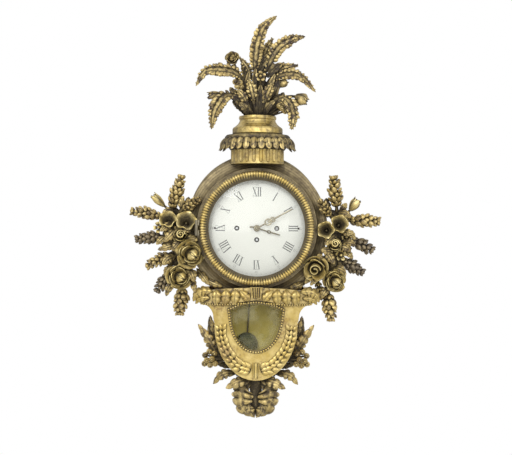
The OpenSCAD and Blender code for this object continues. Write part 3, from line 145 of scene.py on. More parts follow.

# %% [markdown]
# `Paint` holds one material that starts from the standard shader. Its `node` method takes wires as well
# as values. The other methods add what every finish here needs: noise, a ramp between two values, a mix
# of two colours, a bump, the recess stored in the carving, and the occlusion by near surfaces, which
# the gilding paints as shade.

# %% Paint
class Paint:
    def __init__(self, name):
        self.material = bpy.data.materials.new(name)
        self.material.use_nodes = True
        self.tree = self.material.node_tree
        self.tree.nodes.clear()
        self.output = self.tree.nodes.new("ShaderNodeOutputMaterial")
        self.shader = self.tree.nodes.new("ShaderNodeBsdfPrincipled")
        self.tree.links.new(self.shader.outputs[0], self.output.inputs["Surface"])
        self.where = self.node("ShaderNodeTexCoord", out="Object")

    def put(self, socket, value):
        if isinstance(value, Wire):
            self.tree.links.new(value.socket, socket)
        else:
            socket.default_value = value

    def node(self, kind, settings=None, sockets=None, out=0):
        plain = {key: getattr(value, "socket", value) for key, value in (sockets or {}).items()}
        return Wire(self, tree_node(self.tree, kind, settings, plain)[out])

    def noise(self, scale, detail=4.0, rough=0.55, stretch=(1.0, 1.0, 1.0)):
        place = self.node("ShaderNodeMapping", {}, {"Vector": self.where, "Scale": stretch})
        sockets = {"Vector": place, "Scale": scale, "Detail": detail, "Roughness": rough}
        return self.node("ShaderNodeTexNoise", {}, sockets)

    def ramp(self, value, low, high):
        sockets = {"Value": value, "From Min": low, "From Max": high, "To Min": 0.0, "To Max": 1.0}
        return self.node("ShaderNodeMapRange", {"clamp": True}, sockets)

    def mix(self, share, first, second):
        made = self.tree.nodes.new("ShaderNodeMix")
        made.data_type = "RGBA"
        inputs = {socket.name + socket.type: socket for socket in made.inputs}
        for key, value in (("FactorVALUE", share), ("ARGBA", first), ("BRGBA", second)):
            self.put(inputs[key], value)
        return Wire(self, [socket for socket in made.outputs if socket.type == "RGBA"][0])

    def bump(self, height, distance, strength=1.0):
        sockets = {"Height": height, "Distance": distance, "Strength": strength}
        return self.node("ShaderNodeBump", {}, sockets, "Normal")

    def recess(self):
        return self.node("ShaderNodeAttribute", {"attribute_name": "recess"}, {}, "Fac")

    # Painted shade: how much near surfaces hide a point, in corners and between parts.
    def occlusion_shade(self, reach):
        return 1.0 - self.node("ShaderNodeAmbientOcclusion", {"samples": 6}, {"Distance": reach}, "AO")

    def along(self, axis):
        return self.node("ShaderNodeSeparateXYZ", {}, {"Vector": self.where}, axis)

    def radius(self):
        across = self.along("X")
        up = self.along("Z")
        return (across * across + up * up) ** 0.5

    def finish(self, **sockets):
        for key, value in sockets.items():
            self.put(self.shader.inputs[key.replace("_", " ").title()], value)
        return self.material


print("paint ready", Paint.__name__)

# %% [markdown]
# ## Light and background
# The clock is shown against plain white, under broad soft light from the upper front. A white backdrop
# could be lit until it burns out, but that light would spill on the gilding. So the world is white only
# for rays that the camera, a mirror or a glass sends out, and much dimmer for the light that falls on
# the clock. Three large soft lamps model the carving. A pale floor lies well below, because the clock
# hangs on a wall.

# %% World and floor
AMBIENT = 0.45
WHITE = (1.0, 1.0, 1.0, 1.0)
SOFT_WHITE = (1.0, 0.98, 0.95, 1.0)
FLOOR_Z = -0.78
FLOOR_PLAN = [(-2.5, -3.0), (2.5, -3.0), (2.5, 0.5), (-2.5, 0.5)]

bpy.context.scene.view_settings.view_transform = "Standard"
world = bpy.data.worlds.new("studio")
bpy.context.scene.world = world
world.use_nodes = True
sky = world.node_tree
sky.nodes.clear()
ray = tree_node(sky, "ShaderNodeLightPath")
seen = ray["Is Camera Ray"]
for kind in ("Is Transmission Ray", "Is Glossy Ray"):
    seen = tree_node(sky, "ShaderNodeMath", {"operation": "MAXIMUM"}, {0: seen, 1: ray[kind]})[0]
white = tree_node(sky, "ShaderNodeBackground", {}, {"Color": WHITE, "Strength": 1.0})
soft = tree_node(sky, "ShaderNodeBackground", {}, {"Color": SOFT_WHITE, "Strength": AMBIENT})
chosen = tree_node(sky, "ShaderNodeMixShader", {}, {0: seen, 1: soft[0], 2: white[0]})
tree_node(sky, "ShaderNodeOutputWorld", {}, {"Surface": chosen[0]})

floor_paint = Paint("pale_floor")
floor_colour = floor_paint.mix(floor_paint.noise(3.0), (0.93, 0.93, 0.92, 1.0), (0.97, 0.97, 0.97, 1.0))
floor_mesh = bpy.data.meshes.new("floor")
floor_mesh.from_pydata([(x, y, FLOOR_Z) for x, y in FLOOR_PLAN], [], [(0, 1, 2, 3)])
floor_mesh.materials.append(floor_paint.finish(base_color=floor_colour, roughness=0.9))
floor = bpy.data.objects.new("floor", floor_mesh)
bpy.context.scene.collection.objects.link(floor)
print("floor at", FLOOR_Z, "m")

# %% [markdown]
# A small lamp would draw hard shadows over the carving. These are as large as windows: one from the
# upper left, a weaker one from the right, and a broad one in front that lights the dial evenly.

# %% Lamps
LAMPS = [
    ("key_lamp", (-0.9, -1.9, 1.25), (0, 0, 0), (0.9, 0.9), 13.0),
    ("fill_lamp", (1.5, -1.5, 0.5), (0, 0, 0), (0.8, 1.2), 5.0),
    ("front_lamp", (-0.2, -2.8, 0.75), (0, 0, -0.1), (2.8, 1.8), 23.0),
]


def soft_lamp(name, place, target, size, power):
    data = bpy.data.lights.new(name, "AREA")
    data.shape = "RECTANGLE"
    data.size = size[0]
    data.size_y = size[1]
    data.energy = power
    lamp = bpy.data.objects.new(name, data)
    bpy.context.scene.collection.objects.link(lamp)
    lamp.location = place
    lamp.rotation_euler = (Vector(target) - Vector(place)).to_track_quat("-Z", "Y").to_euler()


for lamp_settings in LAMPS:
    soft_lamp(*lamp_settings)
print("lamps", len(bpy.data.lights))

# %% [markdown]
# ## Gilding
# Water gilding is gold leaf on red clay, called bole, over white gesso on carved wood. On the proud,
# burnished parts it is bright metal; in the hollows it keeps a brown wash and dust; where hands and
# cloths have rubbed it, the red clay shows. One colour could stand for it, but it would look like
# plastic. So one recipe mixes leaf, rubbed clay, dust and a dark wash that also serves as painted
# shade, and takes the depth of the carving from a value called recess that each carved mesh carries,
# together with the occlusion by near surfaces. The same recipe serves the bright mouldings and the
# browner foliage with other shares. More shade can be added by place: a turned line, a darker cove,
# painted shade on the ring under the bezel's leaves, and painted shade on the flanks of the vase, the
# capital and the pedestal.

# %% Gilding recipe
BRIGHT_LEAF = ((0.58, 0.42, 0.12, 1.0), (0.76, 0.59, 0.23, 1.0))
BROWN_LEAF = ((0.47, 0.345, 0.12, 1.0), (0.86, 0.67, 0.28, 1.0))
# The roses' leaf is brighter than the foliage's, partly as painted highlight on rims and hearts.
ROSE_LEAF = ((0.64, 0.49, 0.16, 1.0), (0.94, 0.78, 0.36, 1.0))
WORN_LEAF = ((0.13, 0.105, 0.075, 1.0), (0.30, 0.235, 0.13, 1.0))
AGED_LEAF = ((0.25, 0.20, 0.105, 1.0), (0.38, 0.305, 0.165, 1.0))
BOLE = (0.25, 0.10, 0.045, 1.0)
BARE = (0.075, 0.052, 0.040, 1.0)
# A dark brown wash, also used as painted shade in hollows and between parts.
WASH_AND_SHADE = (0.020, 0.014, 0.008, 1.0)
DUST = (0.17, 0.135, 0.08, 1.0)
COVE_SHADE = (0.1082, 0.1070, 0.62)
UNDER_LEAF_SHADE = (0.1200, 0.1194, 0.40)
TURNED_STEP = 0.0026
TURNED_SHADE = 0.55


def gilding(name, leaf, age, shine, rub, reach, shade=None, share=0.7, wear=0.0):
    paint = Paint(name)
    cloud = paint.noise(26.0, 5.0)
    fine = paint.noise(220.0, 3.0)
    grain = paint.noise(900.0, 2.0)
    lap = paint.ramp(paint.noise(60.0, 2.0), 0.35, 0.65)
    # Wash and painted shade: the recess and the occlusion darken hollows, corners and gaps between parts.
    hollow = paint.recess() * 0.90 + paint.occlusion_shade(reach) * 0.85
    rubbed = paint.ramp(fine * 0.6 + cloud * 0.6, 0.74 - 0.16 * rub, 0.86 - 0.12 * rub) * rub
    dusty = paint.ramp(cloud + fine * 0.4, 0.52, 0.95) * age
    wash_and_shade = paint.ramp(hollow + (fine - 0.5) * 0.4, 0.22, 0.92)
    if shade:
        wash_and_shade = (wash_and_shade + shade(paint)).clamped()
    colour = paint.mix(lap, *leaf)
    colour = paint.mix(rubbed, colour, BOLE)
    colour = paint.mix((dusty * 0.7).clamped(), colour, DUST)
    if wear:
        bare = paint.ramp(paint.noise(85.0, 4.0, 0.6), 0.50, 0.60) * wear
        colour = paint.mix(bare, colour, BARE)
    colour = paint.mix((wash_and_shade * 0.95).clamped(), colour, WASH_AND_SHADE)
    metal = (share - wash_and_shade * 0.6 - rubbed * 0.4 - dusty * 0.2).clamped()
    rough = (0.50 - shine * 0.22 + fine * 0.16 + wash_and_shade * 0.3 + dusty * 0.12).clamped()
    normal = paint.bump(fine * 0.7 + grain * 0.3, 0.0006, 0.35)
    return paint.finish(base_color=colour, metallic=metal, roughness=rough, normal=normal)


def ring_shade(paint, start, end, share):
    return paint.ramp(paint.radius(), start, end) * share


# A darker cove, and painted shade on the ring under the bezel's leaves, in the gaps between them.
def bezel_cove(paint):
    cove = ring_shade(paint, *COVE_SHADE)
    return cove.maths("MAXIMUM", cove, ring_shade(paint, *UNDER_LEAF_SHADE))


def turned_lines(paint):
    return (1.0 - paint.radius().folded(TURNED_STEP) / TURNED_STEP) ** 6.0 * TURNED_SHADE


# Painted shade on the flanks of a turned piece, where it turns sideways.
def painted_flank_shade(inner, outer, share):
    def shade(paint):
        across = paint.along("X")
        return paint.ramp((across * across) ** 0.5, inner, outer) * share

    return shade


print("shades by place", bezel_cove.__name__, turned_lines.__name__, painted_flank_shade.__name__)

# %% [markdown]
# The mouldings are bright, the foliage is browner and worn, the drum and a few ears are dull, and the
# window's frame is dull and darkened with painted shade. Painting each by hand would lose the likeness
# between them, so each finish is the one recipe with its own leaf and shares: age, shine, rubbing, how
# far the painted shade of near surfaces reaches, how much is metal, and wear down to the wood.

# %% Gilded finishes
# Painted shade over the whole frame of the window.
FRAME_SHADE = 0.35

bright_gilding = gilding("bright_gilding", BRIGHT_LEAF, 0.30, 1.0, 0.55, 0.010)
bezel_gilding = gilding("bezel_gilding", AGED_LEAF, 0.55, 0.6, 0.35, 0.006, bezel_cove)
drum_gilding = gilding("drum_gilding", AGED_LEAF, 0.9, 0.4, 0.35, 0.020, turned_lines, wear=0.40)
tip_gilding = gilding("leaf_tip_gilding", BRIGHT_LEAF, 0.20, 1.0, 0.35, 0.0025, wear=0.40)
leaf_gilding = gilding("foliage_gilding", BROWN_LEAF, 0.36, 0.8, 0.40, 0.014, share=0.55, wear=0.80)
crest_gilding = gilding("crest_gilding", BROWN_LEAF, 0.50, 0.8, 0.40, 0.017, share=0.55, wear=0.95)
rose_gilding = gilding("rose_gilding", ROSE_LEAF, 0.25, 1.0, 0.30, 0.007, share=0.55, wear=0.40)
worn_gilding = gilding("worn_gilding", WORN_LEAF, 0.40, 0.7, 0.20, 0.014, share=0.6)
neck_gilding = gilding("neck_gilding", BRIGHT_LEAF, 1.0, 1.0, 0.45, 0.012,
                       painted_flank_shade(0.030, 0.052, 0.55), share=0.95, wear=0.50)
capital_gilding = gilding("capital_gilding", BROWN_LEAF, 0.36, 0.8, 0.40, 0.014,
                          painted_flank_shade(0.048, 0.066, 0.55), share=0.55, wear=0.80)
pedestal_gilding = gilding("pedestal_gilding", BRIGHT_LEAF, 0.80, 0.8, 0.45, 0.006,
                           painted_flank_shade(0.040, 0.056, 0.35), share=0.8, wear=0.35)
frame_gilding = gilding("frame_gilding", AGED_LEAF, 0.8, 0.5, 0.45, 0.012, lambda paint: FRAME_SHADE)
print("gilded finishes", bright_gilding.name, tip_gilding.name, leaf_gilding.name)

# %% [markdown]
# ## The other finishes
# The dial is white enamel fired on copper, glossy, faintly uneven and specked. The glasses are old: the
# one on the bezel is clear, and the one before the pendulum is filmed with dust. Behind them are
# lacquered brass, bright steel, black iron and an oak board. Each is a short recipe of noise at the
# right size: brushing on metal follows one direction, wood grain runs up the board.

# %% Enamel, metal, wood and glass
def enamel_finish():
    paint = Paint("white_enamel")
    cloud = paint.noise(14.0, 3.0)
    speck = paint.ramp(paint.noise(700.0, 1.0), 0.70, 0.78)
    pale = paint.mix(cloud, (0.95, 0.95, 0.91, 1.0), (0.92, 0.92, 0.88, 1.0))
    colour = paint.mix(speck * 0.25, pale, (0.55, 0.50, 0.40, 1.0))
    rough = 0.10 + cloud * 0.08
    normal = paint.bump(paint.noise(40.0, 2.0), 0.0004, 0.25)
    return paint.finish(base_color=colour, roughness=rough, normal=normal, coat_weight=0.3)


def metal_finish(name, light, dark, rough, stain, stretch=(1.0, 1.0, 1.0)):
    paint = Paint(name)
    brushed = paint.noise(500.0, 2.0, 0.5, stretch)
    cloud = paint.noise(40.0, 4.0)
    tarnish = paint.ramp(cloud + brushed * 0.2, 0.50, 0.85) * stain
    colour = paint.mix(tarnish, light, dark)
    normal = paint.bump(brushed, 0.0002, 0.3)
    worn = rough + tarnish * 0.3 + brushed * 0.08
    return paint.finish(base_color=colour, metallic=1.0 - tarnish * 0.5, roughness=worn, normal=normal)


def oak_finish():
    paint = Paint("old_oak")
    ring = paint.noise(60.0, 5.0, 0.6, (1.0, 1.0, 0.06))
    pore = paint.ramp(paint.noise(520.0, 2.0, 0.5, (1.0, 1.0, 0.04)), 0.55, 0.72)
    colour = paint.mix(ring, (0.16, 0.085, 0.04, 1.0), (0.33, 0.20, 0.105, 1.0))
    colour = paint.mix(pore * 0.7, colour, (0.05, 0.03, 0.018, 1.0))
    normal = paint.bump(ring - pore * 0.6, 0.0008, 0.6)
    return paint.finish(base_color=colour, roughness=0.62 + pore * 0.2, normal=normal)


def glass_finish(name, film_colour, clear, film_low, film_high):
    paint = Paint(name)
    film = paint.ramp(paint.noise(18.0, 5.0, 0.6), film_low, film_high)
    paint.finish(base_color=film_colour, roughness=0.6)
    gloss = paint.node("ShaderNodeBsdfAnisotropic", {}, {"Color": WHITE, "Roughness": 0.03})
    through = paint.node("ShaderNodeBsdfTransparent", {}, {"Color": clear})
    facing = paint.node("ShaderNodeLayerWeight", {}, {"Blend": 0.5}, "Facing")
    mirrored = facing ** 5.0 * 0.85 + 0.012
    pane = paint.node("ShaderNodeMixShader", {}, {0: mirrored, 1: through, 2: gloss})
    dusty = paint.node("ShaderNodeMixShader", {}, {0: film, 1: pane, 2: paint.shader.outputs[0]})
    paint.tree.links.new(dusty.socket, paint.output.inputs["Surface"])
    return paint.material


enamel = enamel_finish()
brass = metal_finish("lacquered_brass", (0.70, 0.52, 0.22, 1.0), (0.22, 0.14, 0.06, 1.0), 0.28, 0.7)
gilt_brass = metal_finish("gilt_brass", (0.42, 0.375, 0.275, 1.0), (0.17, 0.14, 0.10, 1.0), 0.38, 0.7)
# Dark brass: the hour hand's own colour, and painted shade on the hinges and the catch.
dark_brass_and_shade = metal_finish("darkened_brass_and_shade", (0.25, 0.22, 0.155, 1.0), (0.09, 0.075, 0.05, 1.0), 0.45, 0.8)
steel = metal_finish("polished_steel", (0.50, 0.50, 0.51, 1.0), (0.13, 0.10, 0.08, 1.0), 0.26, 0.7,
                     stretch=(1.0, 1.0, 0.1))
iron = metal_finish("black_iron", (0.13, 0.12, 0.11, 1.0), (0.06, 0.035, 0.02, 1.0), 0.5, 0.9)
lead_bob = metal_finish("tarnished_bob", (0.12, 0.14, 0.15, 1.0), (0.05, 0.055, 0.055, 1.0), 0.5, 0.9)
oak = oak_finish()
dial_glass = glass_finish("dial_glass", (0.9, 0.9, 0.88, 1.0), (0.985, 0.99, 0.98, 1.0), 0.78, 2.0)
window_pane = glass_finish(
    "dusty_window_glass", (0.52, 0.49, 0.33, 1.0), (0.97, 0.95, 0.78, 1.0), 0.46, 1.15)
print("other finishes", len(bpy.data.materials))

# %% [markdown]
# ## Finishes for the solids that stay
# The turned and joined pieces already have the right shape, so they keep their solids. Each solid names
# the slot of its stuff in the record. Mapping slots to finishes covers them all at once, and a few
# pieces that differ from their slot are named after it.

# %% Paint the solids
SLOT_FINISH = {
    "giltwood": bright_gilding, "carved_giltwood": leaf_gilding, "oak": oak, "iron": iron,
    "steel": steel, "brass": brass, "gilt_brass": gilt_brass, "glass": dial_glass, "enamel": enamel,
}
OWN_FINISH = {
    "window_glass": window_pane, "window_frame": frame_gilding, "drum_case": drum_gilding,
    "bezel_ring": bezel_gilding, "vase_neck": neck_gilding, "pedestal_drum": pedestal_gilding,
    # The hinges and the catch take the dark brass as painted shade.
    "pendulum_bob": lead_bob, "pendulum_rod": iron, "hinge_case_leaf": dark_brass_and_shade,
    "hinge_bezel_leaf": dark_brass_and_shade, "bezel_catch": dark_brass_and_shade, "hour_hand": dark_brass_and_shade,
}
node_slot = {part["node"]: part["material_slot"] for part in frame["record"]["subparts"]}
for name, solid in frame["nodes"].items():
    finish = OWN_FINISH.get(name) or SLOT_FINISH[node_slot[name]]
    solid.data.materials.clear()
    solid.data.materials.append(finish)
print("solids painted", len(frame["nodes"]), "slots found", len(node_slot))

# %% [markdown]
# ## Carving with grids of points
# A carver works a leaf as a surface: a rib, hollows beside it, lobes with notches between. The same can
# be done by bending a grid of points with a formula and giving it thickness, which keeps every leaf a
# closed solid with few points. All of it is drawn in millimetres, seen face on: x to the right, y up
# and z forward from the wall. First come the helpers for directions, and for a smooth path through
# points.

# %% Directions and paths
MM = 0.001


def unit(v):
    v = np.asarray(v, float)
    return v / np.maximum(np.linalg.norm(v, axis=-1, keepdims=True), 1e-9)


def full_turn(sides):
    return np.linspace(0.0, 2 * math.pi, sides, endpoint=False)


def circle_of(side, other, angle):
    return side * np.cos(angle)[..., None] + other * np.sin(angle)[..., None]


def frame_of(axis):
    axis = unit(axis)
    helper = [0.0, 1.0, 0.0] if abs(axis[1]) < 0.9 else [1.0, 0.0, 0.0]
    side = unit(np.cross(helper, axis))
    return side, np.cross(axis, side), axis


def smooth_path(points, t):
    p = np.asarray(points, float)
    last = len(p) - 1
    t = np.asarray(t, float)
    s = np.clip(np.floor(t * last).astype(int), 0, last - 1)
    u = (t * last - s)[..., None]
    a, b, c, d = p[np.maximum(s - 1, 0)], p[s], p[s + 1], p[np.minimum(s + 2, last)]
    square = 2 * a - 5 * b + 4 * c - d
    cube = 3 * b - a - 3 * c + d
    return 0.5 * (2 * b + (c - a) * u + square * u ** 2 + cube * u ** 3)


def path_heading(points, t):
    t = np.asarray(t, float)
    ahead = smooth_path(points, np.minimum(t + 0.01, 1.0))
    behind = smooth_path(points, np.maximum(t - 0.01, 0.0))
    return unit(ahead - behind)


def to_world(points):
    p = np.asarray(points, float)
    return np.stack([p[..., 0], -p[..., 2], p[..., 1]], -1) * MM


print("a leaf of 100 mm is", to_world([0, 100, 0])[2], "m high in the frame")

# %% [markdown]
# `Carving` collects the points and faces of one piece. A leaf or petal is a `shell`, a grid with a
# second grid behind it. A stem or berry is a `loft` through rings, and a collar is a `lathe` of a
# closed section. Each point also gets its recess, from 0 on the proud parts to 1 deep in a hollow; the
# gilding paints it as a dark wash and painted shade. A seed is a bare point with two directions and a
# size, on which a small repeated shape grows later.

# %% Carving helper
SHARP = math.radians(55)


class Carving:
    def __init__(self):
        self.points = [np.zeros((0, 3))]
        self.recess = [np.zeros(0)]
        self.faces = []
        self.count = 0
        self.seeds = []

    def add(self, points, faces, recess):
        points = np.asarray(points, float).reshape(-1, 3)
        self.points.append(points)
        self.recess.append(np.clip(np.asarray(recess, float).reshape(-1), 0.0, 1.0))
        self.faces.extend([tuple(int(i) + self.count for i in face) for face in faces])
        self.count += len(points)

    def shell(self, front, thick, recess, around=False, back_recess=0.4):
        n, m = front.shape[:2]
        along = np.gradient(front, axis=0)
        if around:
            across = np.roll(front, -1, axis=1) - np.roll(front, 1, axis=1)
        else:
            across = np.gradient(front, axis=1)
        normal = unit(np.cross(along, across))
        thick = np.broadcast_to(np.asarray(thick, float), (n, m))[..., None]
        back = front - normal * thick
        f = np.arange(n * m).reshape(n, m)
        b = f + n * m
        if around:
            f = np.concatenate([f, f[:, :1]], 1)
            b = np.concatenate([b, b[:, :1]], 1)
        faces = [np.stack([f[:-1, :-1], f[1:, :-1], f[1:, 1:], f[:-1, 1:]], -1).reshape(-1, 4),
                 np.stack([b[:-1, 1:], b[1:, 1:], b[1:, :-1], b[:-1, :-1]], -1).reshape(-1, 4),
                 np.stack([f[0, :-1], f[0, 1:], b[0, 1:], b[0, :-1]], -1),
                 np.stack([f[-1, 1:], f[-1, :-1], b[-1, :-1], b[-1, 1:]], -1)]
        if not around:
            faces.append(np.stack([f[1:, 0], f[:-1, 0], b[:-1, 0], b[1:, 0]], -1))
            faces.append(np.stack([f[:-1, -1], f[1:, -1], b[1:, -1], b[:-1, -1]], -1))
        recess = np.broadcast_to(np.asarray(recess, float), (n, m))
        depth = np.concatenate([recess.reshape(-1), recess.reshape(-1) + back_recess])
        self.add(np.concatenate([front.reshape(-1, 3), back.reshape(-1, 3)]), np.concatenate(faces), depth)

    def loft(self, rings, recess):
        n, m = rings.shape[:2]
        index = np.arange(n * m).reshape(n, m)
        index = np.concatenate([index, index[:, :1]], 1)
        walls = np.stack([index[:-1, :-1], index[:-1, 1:], index[1:, 1:], index[1:, :-1]], -1)
        ends = [tuple(range(m - 1, -1, -1)), tuple(range((n - 1) * m, n * m))]
        faces = [tuple(wall) for wall in walls.reshape(-1, 4)] + ends
        self.add(rings, faces, np.broadcast_to(np.asarray(recess, float), (n, m)))

    def lathe(self, centre, section, sides, recess):
        x, y, z = centre
        turn = full_turn(sides)
        ring = np.stack([np.cos(turn), np.sin(turn), 0 * turn], -1)
        rings = [[x, y, z + h] + r * ring for r, h in section]
        index = np.arange(len(section) * sides).reshape(-1, sides)
        loop = np.pad(index, ((0, 1), (0, 1)), "wrap")
        quads = np.stack([loop[:-1, 1:], loop[:-1, :-1], loop[1:, :-1], loop[1:, 1:]], -1)
        self.add(rings, quads.reshape(-1, 4), np.full(index.size, recess))

    def seed(self, point, aim, outward, size):
        self.seeds.append((point, aim, outward, size))

    def mesh(self, name, finish, place=to_world):
        made = bpy.data.meshes.new(name)
        bare = [np.zeros(3)] * self.count
        spots = [np.asarray(seed[0], float) for seed in self.seeds]
        points = np.concatenate(self.points + [np.reshape(spots, (-1, 3))])
        made.from_pydata(place(points).tolist(), [], self.faces)
        recess = np.concatenate(self.recess + [np.zeros(len(spots))])
        made.attributes.new("recess", "FLOAT", "POINT").data.foreach_set("value", recess)
        if self.seeds:
            for number, key in ((1, "aim"), (2, "outward")):
                ways = place(np.array(bare + [np.asarray(seed[number], float) for seed in self.seeds]))
                made.attributes.new(key, "FLOAT_VECTOR", "POINT").data.foreach_set("vector", ways.ravel())
            sizes = [0.0] * self.count + [seed[3] * MM for seed in self.seeds]
            made.attributes.new("size", "FLOAT", "POINT").data.foreach_set("value", sizes)
        made.materials.append(finish)
        made.shade_smooth()
        made.set_sharp_from_angle(angle=SHARP)
        return made

    def piece(self, name, finish, *nodes, body="case", slot="carved_giltwood"):
        place_piece(name, self.mesh(name, finish), *nodes, body=body, slot=slot)


def place_piece(name, mesh, *nodes, body="case", slot="carved_giltwood"):
    made = bpy.data.objects.new(name, mesh)
    bpy.context.scene.collection.objects.link(made)
    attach(made, body)
    if nodes:
        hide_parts(*nodes)
    print(name, len(mesh.vertices), "points", len(mesh.polygons), "faces")


print("carving ready", Carving.__name__)

# %% [markdown]
# ## Leaves
# Every long leaf on the clock is the same idea: a midrib along a curved path, a row of lobes on each
# side that lean towards the tip, a hollow in each lobe, and edges that droop. Photographed leaves could
# be traced one by one, but the formula below makes them all from a path, a half width and a number of
# lobes, so a leaf can be bent or widened by changing one value.

# %% Leaf formula
def leaf_width(t):
    rise = 0.30 + 0.70 * np.sin(np.minimum(t / 0.4, 1.0) * math.pi / 2)
    fall = np.maximum(np.cos(np.clip((t - 0.4) / 0.6, 0.0, 1.0) * math.pi / 2), 0.0) ** 0.8
    return np.maximum(rise * fall, 0.04)


def carve_leaf(carving, path, half_w, facing, lobes, depth=0.34, cup=0.30, puff=0.16, rib=0.12,
               thick=3.0, lean=0.10, root=0.6, across=13, vein=0.25, shade=0.0):
    n = lobes * 6 + 1
    t = np.linspace(0.0, 1.0, n)[:, None]
    s = np.linspace(-1.0, 1.0, across)[None, :]
    ahead = np.clip(t + lean * np.abs(s) ** 1.3 * (1.0 - t), 0.0, 1.0)
    centre = smooth_path(path, ahead)
    along = path_heading(path, ahead)
    side = unit(np.cross(along, np.asarray(facing, float)))
    front = np.cross(side, along)
    wave = np.abs(np.sin(math.pi * lobes * t))
    notch = (1.0 - wave ** 0.6) * np.sin(math.pi * np.clip(t, 0.02, 0.98)) ** 0.3
    width = half_w * leaf_width(t)
    reach = s * width * (1.0 - depth * notch * np.abs(s) ** 1.5)
    bulge = puff * width * wave ** 0.7 * np.sin(math.pi * np.abs(s))
    height = bulge - cup * width * s ** 2 + rib * half_w * np.exp(-(s / 0.14) ** 2) * (1.0 - 0.6 * t)
    points = centre + side * reach[..., None] + front * height[..., None]
    # Painted shade: the recess darkens the notches, the creases beside the rib and the root, and the
    # caller's shade adds to it.
    crease = np.exp(-((np.abs(s) - vein) / 0.10) ** 2)
    hollow = 0.85 * notch * np.abs(s) + 0.75 * crease + root * (1.0 - t) ** 2
    thinned = thick * (1.0 - 0.55 * t) * (1.0 - 0.6 * np.abs(s) ** 3)
    carving.shell(points[:, ::-1], thinned, shade + hollow[:, ::-1])


def carve_stem(carving, path, radius, recess=0.7, sides=10, stations=12, knots=0.12):
    t = np.linspace(0.0, 1.0, stations)
    centre = smooth_path(path, t)
    along = path_heading(path, t)
    start = np.array([0.0, 0.0, 1.0]) if abs(along[0][2]) < 0.9 else np.array([1.0, 0.0, 0.0])
    side = unit(np.cross(along, start))
    other = np.cross(along, side)
    angle = full_turn(sides)
    twist = np.sin(3 * angle[None, :] + 9.0 * t[:, None])
    size = np.interp(t, np.linspace(0, 1, len(radius)), radius)[:, None] * (1.0 + knots * twist)
    ring = circle_of(side[:, None], other[:, None], angle)
    # Painted shade in the grooves between the knots, lighter on the knots.
    groove = recess - 0.25 * twist
    carving.loft(centre[:, None] + ring * size[..., None], groove)


print("leaf and stem ready")

# %% [markdown]
# ## Small shapes that grow on points
# Grains, berries and laurel leaves repeat hundreds of times. Copying meshes in a loop works, but a
# Geometry Nodes tree keeps the rule in one place: it reads the two directions and the size stored on
# every seed, turns one small shape to fit, deletes the seeds and joins the result to the carved core.

# %% Growing tree
def new_tree(name, inputs):
    tree = bpy.data.node_groups.new(name, "GeometryNodeTree")
    tree.interface.new_socket("Geometry", in_out="OUTPUT", socket_type="NodeSocketGeometry")
    tree.interface.new_socket("Geometry", in_out="INPUT", socket_type="NodeSocketGeometry")
    for label, kind in inputs:
        tree.interface.new_socket(label, in_out="INPUT", socket_type="NodeSocket" + kind)
    return tree, tree.nodes.new("NodeGroupInput").outputs, tree.nodes.new("NodeGroupOutput").inputs


def named(tree, label, kind):
    return tree_node(tree, "GeometryNodeInputNamedAttribute", {"data_type": kind}, {"Name": label})[0]


def close_tree(tree, pieces, finish, out):
    joined = tree.nodes.new("GeometryNodeJoinGeometry")
    for piece in pieces:
        tree.links.new(piece, joined.inputs[0])
    real = tree_node(tree, "GeometryNodeRealizeInstances", {}, {"Geometry": joined.outputs[0]})
    coloured = tree_node(tree, "GeometryNodeSetMaterial", {}, {"Geometry": real[0], "Material": finish})
    tree.links.new(coloured[0], out[0])


def growing_tree():
    tree, given, out = new_tree("grow_on_seeds", [("Shape", "Object"), ("Finish", "Material")])
    size = named(tree, "size", "FLOAT")
    seed = tree_node(tree, "FunctionNodeCompare", {"operation": "GREATER_THAN"}, {"A": size, "B": 0.0})[0]
    aim = named(tree, "aim", "FLOAT_VECTOR")
    outward = named(tree, "outward", "FLOAT_VECTOR")
    aimed = tree_node(tree, "FunctionNodeAlignRotationToVector", {"axis": "Y"}, {"Vector": aim})
    turned = tree_node(tree, "FunctionNodeAlignRotationToVector", {"axis": "Z", "pivot_axis": "Y"},
                       {"Rotation": aimed[0], "Vector": outward})
    shape = tree_node(tree, "GeometryNodeObjectInfo", {}, {"Object": given["Shape"]})
    grown = tree_node(tree, "GeometryNodeInstanceOnPoints", {}, {
        "Points": given["Geometry"], "Selection": seed, "Instance": shape["Geometry"],
        "Rotation": turned[0], "Scale": size})
    core = tree_node(tree, "GeometryNodeDeleteGeometry", {}, {
        "Geometry": given["Geometry"], "Selection": seed})
    close_tree(tree, [core[0], grown[0]], given["Finish"], out)
    return tree


GROWING = growing_tree()
print("growing tree", len(GROWING.nodes), "nodes")

# %% [markdown]
# A tree acts through a modifier. The next helper gives the mesh a passing object, sets the tree's
# inputs by their identifiers, reads the evaluated result as a plain mesh, and removes the object with
# its modifier again.

# %% Running a tree
def run_tree(name, mesh, tree, **inputs):
    made = bpy.data.objects.new(name, mesh)
    bpy.context.scene.collection.objects.link(made)
    nodes = made.modifiers.new(name, "NODES")
    nodes.node_group = tree
    for item in tree.interface.items_tree:
        if item.in_out == "INPUT" and item.name in inputs:
            nodes[item.identifier] = inputs[item.name]
    depsgraph = bpy.context.evaluated_depsgraph_get()
    source = made.evaluated_get(depsgraph)
    result = bpy.data.meshes.new_from_object(source, preserve_all_data_layers=True, depsgraph=depsgraph)
    bpy.data.objects.remove(made)
    for key in ("aim", "outward", "size"):
        if key in result.attributes:
            result.attributes.remove(result.attributes[key])
    result.name = name
    return result


def grow_piece(carving, name, finish, shape, node):
    seeds = carving.mesh(name + "_seeds", finish)
    place_piece(name, run_tree(name, seeds, GROWING, Shape=shape, Finish=finish), node)


print("inputs of the growing tree", [item.name for item in GROWING.interface.items_tree])

